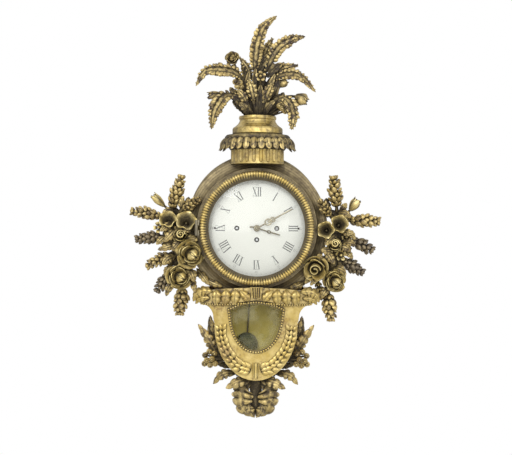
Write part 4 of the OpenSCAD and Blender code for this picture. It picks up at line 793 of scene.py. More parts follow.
# %% [markdown]
# A grain is an almond of a few dozen faces, with painted shade at its base, sides and back. A berry is
# a ball with a dimple in front, with painted shade in the dimple and at its base. A laurel leaf is a
# thin lens with a sunk rib, with painted shade at its base and edges. Each is one unit long, along Y,
# with Z outwards.

# %% Grain, berry and laurel leaf
def as_given(points):
    return points


def small_shape(name, stations, sides, flat, shading):
    carving = Carving()
    angle = full_turn(sides)
    rings = []
    depth = []
    for y, r in stations:
        rings.append(np.stack([r * np.cos(angle), np.full(sides, y), -r * flat * np.sin(angle)], -1))
        depth.append(shading(y, np.cos(angle), -np.sin(angle)))
    carving.loft(np.array(rings), np.array(depth))
    return bpy.data.objects.new(name, carving.mesh(name, leaf_gilding, as_given))


# Painted shade on the small shapes: at the base where they meet, at the edges and in the dimple.
def grain_shade(y, x, z):
    return np.clip(1.0 - 2.4 * y, 0.0, 1.0) + 0.25 * np.abs(x) ** 3 - 0.1 * z


def berry_shade(y, x, z):
    return np.full(len(x), 0.85 if y < 0.2 or y > 0.93 else 0.25 * (1.0 - y))


def laurel_shade(y, x, z):
    return np.clip(0.9 - 2.5 * y, 0.0, 1.0) + 0.3 * (np.abs(x) > 0.9)


GRAIN_STATIONS = [(0.0, 0.10), (0.18, 0.27), (0.45, 0.36), (0.72, 0.32), (0.90, 0.19), (1.0, 0.05)]
BERRY_STATIONS = [
    (0.0, 0.12), (0.12, 0.33), (0.35, 0.48), (0.62, 0.50), (0.84, 0.36), (0.96, 0.18), (0.90, 0.08),
]
LAUREL_STATIONS = [(0.0, 0.05), (0.2, 0.20), (0.45, 0.30), (0.7, 0.24), (0.88, 0.12), (1.0, 0.02)]
grain = small_shape("grain", GRAIN_STATIONS, 7, 0.72, grain_shade)
berry = small_shape("berry", BERRY_STATIONS, 8, 1.0, berry_shade)
laurel_leaf = small_shape("laurel_leaf", LAUREL_STATIONS, 6, 0.55, laurel_shade)
print("grain faces", len(grain.data.polygons))

# %% [markdown]
# ## Ears of wheat
# Ears stand out of both side sprays like a star, and the photographed ones show blunt grains in
# staggered rows. Each ear is a spindle, painted dark as the shade between the grains, with seeds in
# rings round it. A seed aims along the ear and a little outwards, so the grains overlap like roof
# tiles. The places are the same as in the construction.

# %% Wheat ears
LEFT_EARS = [
    [[-182, 40, 48], [-161, 111, 52], 13.5], [[-204, 24, 46], [-269, 36, 42], 12],
    [[-204, -19, 46], [-257, -25, 42], 11.5, "worn"], [[-187, -57, 46], [-234, -83, 42], 11.5],
    [[-188, -100, 48], [-211, -135, 46], 11.5, "worn"], [[-157, -128, 50], [-164, -184, 46], 16],
    [[-157, 39, 62], [-123, 61, 84], 8],
]
RIGHT_EARS = [
    [[170, 46, 48], [163, 111, 52], 15], [[198, 18, 46], [262, 17, 42], 14.5],
    [[202, -24, 46], [247, -45, 42], 13.5, "worn"], [[182, -66, 46], [227, -92, 42], 12, "worn"],
    [[155, -138, 50], [159, -195, 46], 15.5], [[131, -114, 44], [141, -147, 40], 8],
    [[155, 27, 64], [134, 58, 82], 8],
]
GRAIN_ROW = 9.2
GRAIN_SIZE = 15.0
GRAINS_ROUND = 6
chance = np.random.default_rng(11)


def ear_width(t):
    if t < 0.3:
        return 0.45 + 0.55 * math.sin(math.radians(300 * t))
    return max(math.cos(math.radians(128 * (t - 0.3))), 0.0) ** 0.75


def carve_ear(carving, base, tip, r):
    base = np.array(base, float)
    reach = np.array(tip, float) - base
    length = np.linalg.norm(reach)
    side, other, axis = frame_of(reach)
    core = [max(0.5 * r * ear_width(t), 0.6) for t in np.linspace(0, 1, 9)]
    # The spindle is painted dark, as shade between the grains.
    carve_stem(carving, [base, base + 0.5 * reach, base + 0.94 * reach], core, 1.0, 8, 9)
    rows = max(4, round(length / GRAIN_ROW))
    for row in range(rows):
        t = 0.03 + 0.86 * row / (rows - 1)
        wide = ear_width(t)
        for k in range(GRAINS_ROUND):
            turn = 2 * math.pi * (k + 0.5 * (row % 2)) / GRAINS_ROUND + 0.12 * row
            out = side * math.cos(turn) + other * math.sin(turn)
            place = base + axis * length * t + out * r * 0.44 * wide
            size = GRAIN_SIZE * (0.62 + 0.38 * wide) * (r / 12) ** 0.4 * chance.uniform(0.80, 1.15)
            lean = out * chance.uniform(0.45, 0.85)
            carving.seed(place, axis * 0.88 + lean, out, size)
    for k in range(3):
        turn = 2 * math.pi * k / 3
        out = side * math.cos(turn) + other * math.sin(turn)
        carving.seed(base + reach * 0.90 + out * 1.6, axis + out * 0.22, out, GRAIN_SIZE * 0.66)


for label, ears in (("left", LEFT_EARS), ("right", RIGHT_EARS)):
    for state, finish in (("gilt", leaf_gilding), ("worn", worn_gilding)):
        ear_carving = Carving()
        for base, tip, r, *worn in ears:
            if bool(worn) == (state == "worn"):
                carve_ear(ear_carving, base, tip, r)
        grow_piece(ear_carving, label + "_" + state + "_ears", finish, grain, label + "_ears")

# %% [markdown]
# ## Roses
# Four full roses sit at the middle of the sprays, with smaller rosettes between them. A rose is layers
# of cupped petals whose rims roll outwards, round a bud that leans or a strip rolled like a scroll. The
# rims catch the light and the throats stay dark, which the recess value gives. Every petal is a piece
# of a bell-shaped surface with a rounded end, so one formula makes the outer, middle and inner layers.

# %% Petals, scrolls and bosses
def ease(v, low, high):
    u = np.clip((v - low) / (high - low), 0.0, 1.0)
    return u * u * (3.0 - 2.0 * u)


def carve_petal(carving, back, axes, turn, spread, radius, height, curl, lit=(0.25, 0.70), thick=1.6):
    side, other, axis = axes
    v = np.linspace(0.0, 1.0, 9)[:, None]
    u = np.linspace(-1.0, 1.0, 13)[None, :]
    roll = ease(v, 0.70, 1.0)
    round_end = 1.0 - 0.20 * u ** 4 * v - 0.06 * u ** 2 * v
    r = radius[0] + (radius[1] - radius[0]) * np.sin(v * math.pi / 2) ** 1.2 + curl * roll
    r = r * (1.0 + 0.04 * v * np.sin(3.0 * u + 5.0 * turn)) + 0.06 * radius[1] * v * u
    up = height[0] + (height[1] - height[0]) * v * round_end - 0.7 * curl * roll ** 2
    angle = turn + spread * u * (0.55 + 0.45 * np.sin(math.pi * np.minimum(v * 1.1, 0.9)))
    ring = circle_of(side, other, angle)
    points = back + ring * r[..., None] + axis * up[..., None]
    # Painted shade towards the base and side edges of a petal; lit sets where the light begins.
    dark = 1.0 - ease(v, *lit) + 0.35 * np.abs(u) ** 6
    carving.shell(points, thick * (1.15 - 0.5 * v), dark, back_recess=0.15)


def carve_scroll(carving, back, axes, r, low, high, turns=1.6):
    side, other, axis = axes
    v = np.linspace(0.0, 1.0, 6)[:, None]
    u = np.linspace(0.0, 1.0, 28)[None, :]
    angle = 2 * math.pi * turns * u
    radius = r * (1.0 - 0.72 * u) * (1.0 - 0.10 * v)
    ring = circle_of(side, other, angle)
    up = low + (high - low) * v * (0.86 + 0.14 * u)
    points = back + ring * radius[..., None] + axis * up[..., None]
    # Painted shade low in the scroll.
    carving.shell(points, 1.8, 1.0 - ease(v + 0 * u, 0.2, 0.75), back_recess=0.1)


def carve_boss(carving, centre, axis, r, recess=0.1):
    stations = [(-0.9, 0.4), (-0.4, 0.9), (0.1, 1.0), (0.5, 0.8), (0.8, 0.4)]
    side, other, ahead = frame_of(axis)
    ring = circle_of(side, other, full_turn(10))
    rings = [centre + ahead * r * h + ring * r * w for h, w in stations]
    carving.loft(np.array(rings), recess)


print("petal formula", carve_petal.__name__)

# %% [markdown]
# A full rose has three layers of three petals. The table gives, for each layer, the number of petals,
# its turn, the half angle of a petal, its radii and heights as shares of the rose, the roll of its rim,
# and where it comes into the light. A rosette is one round of five.

# %% Roses and rosettes
ROSE_LAYERS = [
    (3, 0.0, 1.30, (0.42, 1.00), (0.04, 0.50), 0.10, (0.40, 0.85)),
    (3, 1.1, 1.25, (0.36, 0.80), (0.06, 0.72), 0.07, (0.30, 0.75)),
    (3, 0.4, 1.20, (0.28, 0.60), (0.10, 0.90), 0.05, (0.10, 0.50)),
]
HEART_LEAN = (0.40, -0.30)


def carve_rose(carving, back, r, h, tilt, turn, heart):
    axes = frame_of(tilt)
    rounds = ROSE_LAYERS if heart == "bulb" else ROSE_LAYERS[:2]
    for number, offset, spread, radius, height, curl, lit in rounds:
        for k in range(number):
            angle = turn + offset + 2 * math.pi * k / number
            carve_petal(carving, back, axes, angle, spread, (radius[0] * r, radius[1] * r),
                        (height[0] * h, height[1] * h), curl * r, lit)
    # A boss painted dark as shade fills the bottom of the rose.
    carve_boss(carving, back + axes[2] * 0.16 * h, axes[2], 0.50 * r, 1.0)
    if heart == "bulb":
        leaning = axes[2] + axes[0] * HEART_LEAN[0] + axes[1] * HEART_LEAN[1]
        carve_bud(carving, back + axes[2] * 0.26 * h, leaning, 0.50 * r, 0.78 * h, 0.12)
    elif heart == "spiral":
        carve_scroll(carving, back, axes, 0.64 * r, 0.2 * h, 1.02 * h, 1.5)
        carve_boss(carving, back + axes[2] * 0.78 * h, axes[2], 0.22 * r, 0.2)
    else:
        carve_scroll(carving, back, axes, 0.50 * r, 0.1 * h, 0.80 * h, 1.3)


def carve_rosette(carving, back, r, h, tilt, turn, petals=5):
    axes = frame_of(tilt)
    for k in range(petals):
        angle = turn + 2 * math.pi * k / petals
        carve_petal(carving, back, axes, angle, 2.9 / petals, (0.25 * r, r), (0.1 * h, 0.72 * h), 0.2 * r,
                    thick=1.3)
    carve_boss(carving, back + axes[2] * 0.55 * h, axes[2], 0.32 * r)
    # A boss painted dark as shade lies under the petals.
    carve_boss(carving, back + axes[2] * 0.05 * h, axes[2], 0.4 * r, 0.9)


print("petals in a full rose", sum(layer[0] for layer in ROSE_LAYERS))

# %% [markdown]
# ## Trumpet flowers, tulips and buds
# Beside the roses, bell flowers open to throats darkened with painted shade, and long-stemmed tulips
# and rosebuds point outwards. A bell is one sheet turned round its axis, with five waves in its rim. A
# bud is two rounds of three pointed petals that lean on each other, with painted shade at their bases
# and overlapping edges.

# %% Bells and buds
def carve_bell(carving, back, r, length, tilt, waves=5, thick=2.2):
    side, other, axis = frame_of(tilt)
    v = np.linspace(0.0, 1.0, 12)[:, None]
    angle = full_turn(40)[None, :]
    lobe = np.cos(waves * angle)
    radius = r * (0.16 + 0.30 * v ** 0.8 + 0.48 * ease(v, 0.35, 1.0)) * (1.0 + 0.13 * lobe * v ** 3)
    rolled = 0.16 * length * ease(v, 0.82, 1.0) * (0.6 + 0.4 * lobe)
    up = length * (0.9 * v + 0.08 * ease(v, 0.5, 0.9)) - rolled
    ring = circle_of(side, other, angle)
    points = back + ring * radius[..., None] + axis * up[..., None]
    # Painted shade deep in the throat.
    throat = 1.05 - ease(v + 0 * angle, 0.58, 1.0)
    carving.shell(points, thick * (1.1 - 0.5 * v), throat, around=True, back_recess=-0.2)
    # Bosses in the throat are painted dark as shade.
    carve_boss(carving, back + axis * 0.12 * length, axis, 0.22 * r, 1.0)
    carve_boss(carving, back + axis * 0.40 * length, axis, 0.13 * r, 0.9)


def carve_bud(carving, back, axis, r, length, mouth=0.35, petals=3):
    side, other, ahead = frame_of(axis)
    v = np.linspace(0.0, 1.0, 11)[:, None]
    u = np.linspace(-1.0, 1.0, 7)[None, :]
    for layer, size in ((0, 0.86), (1, 1.0)):
        for k in range(petals):
            turn = 2 * math.pi * (k + 0.5 * layer) / petals + 0.4
            belly = np.sin(math.pi * np.clip(0.10 + 0.62 * v, 0.0, 1.0)) ** 0.9
            radius = size * r * (belly * (1.0 - ease(v, 0.55, 1.0)) + mouth * ease(v, 0.55, 1.0))
            wide = math.pi / petals * 1.15 * np.sqrt(np.maximum(1.0 - v ** 3, 0.02))
            angle = turn + wide * u
            ring = circle_of(side, other, angle)
            up = length * (v - 0.05 * u ** 2 * v) * (0.94 + 0.06 * layer)
            ridge = 0.12 * r * np.exp(-(u / 0.3) ** 2) * v
            points = back + ring * (radius + ridge)[..., None] + ahead * up[..., None]
            # Painted shade at the base and the overlapping edges of each petal, lighter along its middle.
            dark = 0.25 + 0.5 * (1.0 - v) + 0.6 * np.abs(u) ** 4 - 0.3 * np.exp(-(u / 0.4) ** 2)
            carving.shell(points[:, ::-1], 1.6, dark[:, ::-1], back_recess=0.5)
    carve_boss(carving, back + ahead * 0.30 * length, ahead, 0.55 * r, 0.9)


print("flower formulas", carve_bell.__name__, carve_bud.__name__)

# %% [markdown]
# The two sides are not mirror images: each flower has its own place, size and tilt, read from the
# picture. The first three of each side are roses with a heart, a bud or a scroll, and the others are
# rosettes.

# %% Flowers of the sprays
LEFT_ROSES = [
    [[-141, -56, 72], 28, 40], [[-165, -105, 62], 25, 38], [[-163, -18, 62], 15, 24],
    [[-183, -6, 58], 12, 18], [[-207, 0, 50], 10, 14],
]
RIGHT_ROSES = [
    [[126, -80, 72], 25, 40], [[165, -110, 60], 22, 38], [[164, -36, 60], 14, 24],
    [[177, -55, 56], 10, 16], [[189, -18, 52], 9, 14],
]
LEFT_TILT = [[0.12, 0.05, 1], [0.10, 0.10, 1], [0.1, 0.2, 1], [-0.2, 0.2, 1], [-0.3, 0.1, 1]]
RIGHT_TILT = [[-0.15, -0.28, 1], [0.0, 0.0, 1], [0.1, 0.25, 1], [0.3, -0.1, 1], [0.3, 0.1, 1]]
LEFT_HEARTS = ["bulb", "bulb", "spiral"]
RIGHT_HEARTS = ["hollow", "bulb", "spiral"]
LEFT_BELLS = [[[-187, 5, 54], 19, 34, [-0.05, 0.48, 0.9]], [[-150, 3, 66], 22, 32, [0.05, 0.48, 0.9]]]
RIGHT_BELLS = [[[149, -5, 66], 18, 34, [-0.15, 0.10, 1]], [[173, 5, 54], 19, 36, [0.05, 0.20, 1]]]
LEFT_TULIP = [[-198, 46, 50], [-26, 24, 3], 9, 36]
RIGHT_TULIP = [[199, 40, 50], [17, 23, 3], 11, 30]
ROSE_SIDES = [
    ("left", LEFT_ROSES, LEFT_TILT, LEFT_HEARTS), ("right", RIGHT_ROSES, RIGHT_TILT, RIGHT_HEARTS),
]

for label, roses, tilts, hearts in ROSE_SIDES:
    rose_carving = Carving()
    for number, ((back, r, h), tilt) in enumerate(zip(roses, tilts)):
        if number < len(hearts):
            carve_rose(rose_carving, back, r, h, tilt, 0.7 * number, hearts[number])
        else:
            carve_rosette(rose_carving, back, r, h, tilt, 0.5 * number)
    rose_carving.piece(label + "_rose_carving", rose_gilding, label + "_roses")

for label, bells, tulip in (("left", LEFT_BELLS, LEFT_TULIP), ("right", RIGHT_BELLS, RIGHT_TULIP)):
    flower_carving = Carving()
    for back, r, length, tilt in bells:
        carve_bell(flower_carving, back, r, length, tilt)
    carve_bud(flower_carving, *tulip, mouth=0.75)
    flower_carving.piece(label + "_bell_flowers", rose_gilding, label + "_flowers")

# %% [markdown]
# ## Stems and leaves of the side sprays
# A knotty branch runs down each side of the drum, its feet are let into the drum's edge, and a stalk
# goes to every ear and flower; branch and stalks carry painted shade. Small rose leaves fill the gaps
# between the flowers, and darker ones with more painted shade fill the shaded middle of the spray.
# The branch follows the same points as the construction.

# %% Leaves that fill the sprays
LEFT_FILL = [
    [[[-165, 4, 60], [-180, -12, 76], [-196, -30, 78]], 11],
    [[[-160, -20, 62], [-168, -36, 80], [-180, -48, 78]], 10],
    [[[-155, -30, 62], [-140, -22, 84], [-124, -26, 94]], 9],
    [[[-172, -60, 56], [-188, -66, 70], [-199, -80, 66]], 11],
    [[[-150, -86, 60], [-136, -96, 84], [-131, -114, 84]], 11],
    [[[-176, 34, 50], [-188, 36, 66], [-204, 22, 70]], 9],
    [[[-150, 36, 56], [-142, 46, 76], [-146, 62, 80]], 10],
    [[[-168, -118, 54], [-184, -126, 66], [-192, -146, 60]], 9],
    [[[-140, -100, 52], [-134, -118, 70], [-129, -138, 74]], 8],
    [[[-172, 2, 58], [-156, 0, 78], [-140, -8, 84]], 9],
    [[[-170, -34, 58], [-188, -40, 72], [-210, -47, 68]], 9],
    [[[-128, -86, 54], [-114, -102, 66], [-100, -121, 68]], 9],
    [[[-114, -104, 56], [-94, -116, 66], [-72, -124, 68]], 8],
    [[[-182, -78, 54], [-190, -90, 62], [-196, -102, 58]], 8],
    [[[-176, 12, 60], [-190, 4, 78], [-204, -8, 78]], 9],
    [[[-158, 36, 56], [-160, 50, 64], [-157, 68, 64]], 8],
    [[[-190, -14, 54], [-204, -26, 62], [-214, -36, 60]], 8],
]
LEFT_SHADE = [
    [[[-150, 10, 44], [-172, -8, 50], [-202, -12, 48]], 15],
    [[[-146, -20, 44], [-170, -32, 50], [-204, -36, 48]], 15],
    [[[-140, -4, 42], [-152, -16, 48], [-168, -26, 50]], 14],
    [[[-160, -60, 42], [-178, -70, 48], [-200, -72, 46]], 14],
    [[[-160, -84, 42], [-178, -94, 48], [-198, -112, 46]], 13],
    [[[-164, 34, 42], [-184, 34, 48], [-210, 18, 46]], 13],
    [[[-152, 24, 42], [-150, 44, 46], [-146, 66, 48]], 11],
]
RIGHT_SHADE = [
    [[[152, 10, 44], [174, -8, 50], [206, -14, 48]], 15],
    [[[148, -22, 44], [170, -36, 50], [204, -42, 48]], 15],
    [[[142, -6, 42], [152, -18, 48], [168, -28, 50]], 14],
    [[[150, -60, 42], [174, -64, 48], [198, -78, 46]], 14],
    [[[146, -84, 42], [162, -94, 48], [186, -112, 46]], 13],
    [[[160, 34, 42], [184, 32, 48], [208, 20, 46]], 13],
    [[[152, 24, 42], [150, 44, 46], [148, 66, 48]], 11],
]
RIGHT_FILL = [
    [[[170, -10, 60], [156, -20, 80], [144, -34, 86]], 11],
    [[[165, -46, 60], [150, -46, 82], [136, -44, 88]], 10],
    [[[172, -40, 58], [186, -38, 74], [200, -46, 72]], 10],
    [[[160, -84, 58], [176, -84, 76], [190, -92, 72]], 11],
    [[[140, -100, 58], [124, -108, 80], [114, -120, 80]], 7],
    [[[172, 34, 50], [186, 34, 68], [200, 24, 68]], 9],
    [[[152, 34, 56], [142, 40, 76], [140, 56, 80]], 9],
    [[[158, -122, 52], [146, -132, 68], [138, -148, 66]], 9],
    [[[176, -2, 56], [190, -6, 72], [206, -8, 70]], 9],
    [[[150, -60, 58], [140, -62, 84], [128, -54, 94]], 9],
    [[[122, -96, 54], [112, -106, 66], [103, -117, 68]], 7],
    [[[108, -110, 56], [90, -120, 66], [70, -126, 68]], 8],
    [[[174, -84, 54], [184, -94, 66], [188, -106, 60]], 8],
    [[[146, -44, 66], [154, -58, 84], [164, -74, 84]], 10],
    [[[180, -30, 60], [196, -28, 74], [210, -34, 70]], 9],
    [[[176, 36, 52], [184, 46, 62], [191, 55, 62]], 8],
    [[[186, 0, 54], [200, -10, 64], [210, -22, 62]], 9],
    [[[184, -44, 54], [196, -52, 64], [205, -62, 62]], 8],
]
FILL_STYLE = {"depth": 0.25, "thick": 2.4, "root": 0.8, "across": 9}
FILL_FACING = [0.1, 0.2, 1.0]
FILL_LOBES = 4
# Painted shade for the dark leaves that fill gaps in the sprays and the crest.
DARK_FILL = 0.55
print("small leaves", len(LEFT_FILL + RIGHT_FILL), "dark ones", len(LEFT_SHADE + RIGHT_SHADE))

# %% [markdown]
# Each stalk leaves the nearest point of the branch and bends into the direction of what it carries.

# %% Spray branches
FORWARD = [0, 0, 1]
LEFT_CORE = [[[-172, 28, 38], 11], [[-175, -10, 40], 13], [[-170, -50, 40], 12], [[-160, -92, 40], 10]]
RIGHT_CORE = [[[174, 28, 38], 11], [[176, -15, 40], 13], [[168, -60, 40], 12], [[152, -100, 40], 10]]
LEFT_FEET = [
    [0, [-140, 44, 36], 9], [1, [-146, -10, 36], 9], [2, [-136, -58, 36], 9], [3, [-108, -104, 46], 6],
]
RIGHT_FEET = [
    [0, [142, 42, 36], 9], [1, [146, -12, 36], 9], [2, [130, -68, 36], 9], [3, [106, -106, 46], 6],
]


def nearest(core, point):
    gaps = [np.linalg.norm(np.array(c[0]) - np.array(point)) for c in core]
    return core[int(np.argmin(gaps))][0]


def carve_stalk(carving, start, end, way, thin=(5.5, 3.2)):
    start = np.array(start, float)
    end = np.array(end, float)
    middle = 0.5 * (start + end - unit(way) * 0.35 * np.linalg.norm(end - start)) + 0.25 * (end - start)
    carve_stem(carving, [start, middle, end + unit(way) * 2.0], thin, 0.85, 8, 9)


SPRAYS = [
    ("left", LEFT_CORE, LEFT_FEET, LEFT_EARS, LEFT_ROSES, LEFT_BELLS, LEFT_TULIP, LEFT_FILL, LEFT_SHADE),
    ("right", RIGHT_CORE, RIGHT_FEET, RIGHT_EARS, RIGHT_ROSES, RIGHT_BELLS, RIGHT_TULIP,
     RIGHT_FILL, RIGHT_SHADE),
]
for label, core, feet, ears, roses, bells, tulip, fill, dark_fill in SPRAYS:
    branch = Carving()
    carve_stem(branch, [c[0] for c in core], [c[1] for c in core], 0.9, 12, 20, 0.2)
    for number, point, r in feet:
        carve_stem(branch, [core[number][0], point], [r, r * 0.8], 0.9, 10, 5)
    for base, tip, r, *worn in ears:
        carve_stalk(branch, nearest(core, base), base, np.array(tip) - np.array(base))
    for back, r, h in roses:
        carve_stalk(branch, nearest(core, back), back, FORWARD)
    for back, r, length, tilt in bells:
        carve_stalk(branch, nearest(core, back), back, tilt)
    carve_stalk(branch, nearest(core, tulip[0]), tulip[0], tulip[1], (4.5, 2.2))
    for leaves, shade in ((fill, 0.0), (dark_fill, DARK_FILL)):
        for path, half_w in leaves:
            carve_leaf(branch, path, half_w, FILL_FACING, FILL_LOBES, shade=shade, **FILL_STYLE)
    branch.piece(label + "_spray_branch", leaf_gilding, label + "_spray_core")

# %% [markdown]
# ## The crest
# A bouquet stands in the vase: long toothed fronds that arch to both sides, buds on stems and a few
# berries. The fronds use the leaf formula with a sunk midrib, the stems start close together in the
# mouth of the vase and fan out to every leaf and bud.

# %% Fronds of the crest
CREST_FRONDS = [
    [[[-8, 332, 64], [-6, 356, 66], [-2, 390, 66], [11, 427, 64], [39, 452, 62]], 15.5, [0.3, 0, 1], 7],
    [[[16, 330, 52], [29, 362, 50], [46, 388, 50], [72, 404, 52], [100, 410, 54]], 14, [0, 0, 1], 6],
    [[[10, 362, 36], [18, 386, 34], [31, 409, 34]], 9, [0, 0, 1], 3],
    [[[34, 331, 40], [54, 345, 38], [86, 350, 40]], 10, [0, 0, 1], 4],
    [[[34, 317, 66], [60, 327, 70], [92, 321, 76], [122, 289, 78]], 14.5, [0.2, 0.5, 0.8], 6],
    [[[-32, 317, 66], [-52, 331, 70], [-82, 335, 76], [-112, 331, 78], [-131, 300, 78]],
     16.5, [-0.2, 0.5, 0.8], 7],
    [[[-12, 320, 58], [-24, 345, 56], [-40, 364, 54]], 7.5, [0, 0, 1], 3],
    [[[-22, 318, 46], [-28, 334, 44], [-35, 352, 44]], 8, [0, 0, 1], 3],
    [[[-40, 279, 78], [-66, 279, 88], [-82, 262, 96], [-92, 239, 100], [-97, 207, 98]],
     17, [-0.3, 0.4, 0.9], 7],
    [[[46, 280, 78], [65, 268, 90], [75, 238, 98], [71, 207, 98]], 15, [0.3, 0.4, 0.9], 6],
    [[[-22, 259, 92], [-31, 277, 102], [-43, 290, 98]], 9, [0, 0, 1], 3],
    [[[-9, 268, 82], [-13, 290, 88], [-19, 312, 86]], 11, [-0.1, 0, 1], 3],
    [[[14, 262, 84], [21, 284, 92], [30, 304, 88]], 11, [0.1, 0, 1], 3],
]
SCALE_STEP = 8.0
FROND_STYLE = {"depth": 0.24, "cup": 0.22, "puff": 0.12, "rib": 0.16, "vein": 0.36, "shade": 0.20}


def carve_scales(carving, path, half_w, facing):
    walk = smooth_path(path, np.linspace(0.0, 1.0, 40))
    length = np.linalg.norm(np.diff(walk, axis=0), axis=1).sum()
    rows = max(4, round(length / SCALE_STEP))
    for row in range(rows):
        t = 0.05 + 0.88 * row / (rows - 1)
        way = path_heading(path, t)
        side = unit(np.cross(way, np.asarray(facing, float)))
        front = np.cross(side, way)
        wide = half_w * float(leaf_width(np.array(t)))
        for k in (-1, 1):
            place = smooth_path(path, t) + side * k * 0.44 * wide
            aim = way * 0.85 + side * k * chance.uniform(0.45, 0.95) + front * chance.uniform(-0.1, 0.25)
            carving.seed(place, aim, front + side * k * 0.35, max(wide, 4.5) * chance.uniform(0.65, 1.0))


frond_carving = Carving()
for path, half_w, facing, lobes in CREST_FRONDS:
    carve_leaf(frond_carving, path, 0.94 * half_w, facing, lobes + 2, **FROND_STYLE)
    carve_scales(frond_carving, path, half_w, facing)
grow_piece(frond_carving, "crest_frond_carving", crest_gilding, grain, "crest_fronds")

# %% [markdown]
# Between the fronds are three buds, an open rose and a small rosette, from the same formulas as in the
# sprays.

# %% Buds of the crest
CREST_BUDS = [
    [[-74, 283, 70], [-32, -4, 5], 9, 34, 0.8],
    [[80, 281, 74], [17, -10, 4], 14, 30, 0.45], [[46, 302, 62], [7, 5, 3], 9, 22, 0.5],
]
CREST_CUP = [[-54, 360, 52], 13.5, 20, [-0.15, 0.30, 0.9]]
CREST_STAR = [[5, 320, 84], 9, 10]

bud_carving = Carving()
for back, way, r, length, mouth in CREST_BUDS:
    carve_bud(bud_carving, back, way, r, length, mouth)
carve_rose(bud_carving, *CREST_CUP, 0.4, "bulb")
carve_rosette(bud_carving, *CREST_STAR, [0.1, 0.1, 1], 0.3)
bud_carving.piece("crest_bud_carving", crest_gilding, "crest_buds")

# %% [markdown]
# In the mouth of the vase a plug, painted dark as shade, closes the view down. Stems and long sheath
# leaves with painted shade rise from it, darker leaves with more painted shade fill the gaps behind
# them, and two bunches of berries hang in front.

# %% Stems and berries of the crest
CREST_SHEATHS = [
    [[[-26, 238, 66], [-25, 285, 74], [-19, 334, 70]], 8],
    [[[-12, 237, 72], [-10, 285, 78], [-5, 340, 74]], 8],
    [[[10, 237, 72], [20, 285, 76], [36, 328, 70]], 8],
    [[[22, 238, 66], [35, 285, 70], [49, 328, 64]], 8], [[[1, 237, 74], [4, 275, 80], [6, 304, 78]], 8],
    [[[-30, 242, 70], [-38, 266, 84], [-54, 280, 86]], 9],
    [[[30, 242, 70], [40, 266, 82], [56, 278, 86]], 9],
    [[[14, 238, 80], [22, 256, 94], [36, 268, 98]], 7], [[[0, 330, 56], [8, 352, 52], [24, 374, 46]], 9],
    [[[20, 322, 58], [34, 340, 54], [52, 354, 48]], 9],
    [[[-28, 300, 66], [-40, 318, 64], [-44, 338, 58]], 8],
    [[[-20, 238, 80], [-28, 254, 94], [-40, 262, 96]], 8],
]
CREST_FILL = [
    [[[0, 240, 48], [2, 300, 50], [8, 374, 46]], 17], [[[18, 240, 48], [32, 300, 46], [46, 352, 42]], 15],
    [[[-14, 240, 48], [-22, 300, 48], [-28, 346, 44]], 14],
    [[[-26, 250, 60], [-44, 278, 60], [-60, 300, 58]], 12],
    [[[30, 250, 60], [44, 272, 60], [56, 290, 58]], 11],
    [[[34, 246, 70], [54, 262, 72], [74, 258, 74]], 10],
    [[[-30, 244, 70], [-42, 262, 74], [-54, 268, 76]], 9],
]
CREST_BERRIES = [
    [-48, 309, 78], [-38, 307, 82], [-44, 299, 84], [-35, 298, 80], [52, 262, 84], [60, 256, 88],
    [51, 252, 90], [58, 247, 86], [45, 258, 88],
]
CREST_BERRY_R = 6.5
VASE_AXIS = 56.0
VASE_FLOOR = 228.4
CORE_R = 33.0
FROND_STEM = 4.6
BUD_STEM = 3.8
SHEATH_STYLE = {"depth": 0.16, "cup": -0.25, "puff": 0.10, "rib": -0.10, "root": 0.8, "across": 9,
                "vein": 0.3, "shade": 0.36}
CREST_FILL_STYLE = {"depth": 0.30, "puff": 0.20, "root": 0.8, "across": 9, "shade": DARK_FILL}

stem_carving = Carving()
plug_line = [[0, VASE_FLOOR, VASE_AXIS], [0, VASE_FLOOR + 9, VASE_AXIS]]
# The plug is painted dark as shade; stems and sheaths carry painted shade too.
carve_stem(stem_carving, plug_line, [CORE_R, CORE_R * 0.9], 1.0, 24, 3, 0.03)
stem_ends = [(path[0], path_heading(path, 0.0), FROND_STEM) for path, half_w, facing, lobes in CREST_FRONDS]
stem_ends += [(back, way, BUD_STEM) for back, way, r, length, mouth in CREST_BUDS]
stem_ends += [(CREST_STAR[0], [0, 0.6, 0.8], BUD_STEM), (CREST_CUP[0], CREST_CUP[3], BUD_STEM)]
for path, half_w in CREST_SHEATHS:
    carve_leaf(stem_carving, path, half_w, FORWARD, 3, **SHEATH_STYLE)
for path, half_w in CREST_FILL:
    carve_leaf(stem_carving, path, half_w, FORWARD, 5, **CREST_FILL_STYLE)
for end, way, r in stem_ends:
    foot = [end[0] * 0.30, VASE_FLOOR + 6, VASE_AXIS + 0.35 * (end[2] - VASE_AXIS)]
    carve_stalk(stem_carving, foot, end, way, (r, r * 0.7))
for spot in CREST_BERRIES:
    foot = [spot[0] * 0.35, VASE_FLOOR + 8, VASE_AXIS + 10]
    carve_stalk(stem_carving, foot, spot, np.array(spot) - np.array(foot), (2.6, 1.6))
    stem_carving.seed(np.array(spot) - [0, 0, CREST_BERRY_R], FORWARD, [0, 1, 0], 2 * CREST_BERRY_R)
grow_piece(stem_carving, "crest_stem_carving", crest_gilding, berry, "crest_stems")

# %% [markdown]
# ## Rings of leaves
# Two turned parts carry a ring of leaves: broad ones hang from the capital under the vase, and small
# ones are cut all round the bezel. A ring follows a rule, so its tree sets one leaf at every point of a
# circle, turns it to face outwards, and leaves out those that would go into the wall.

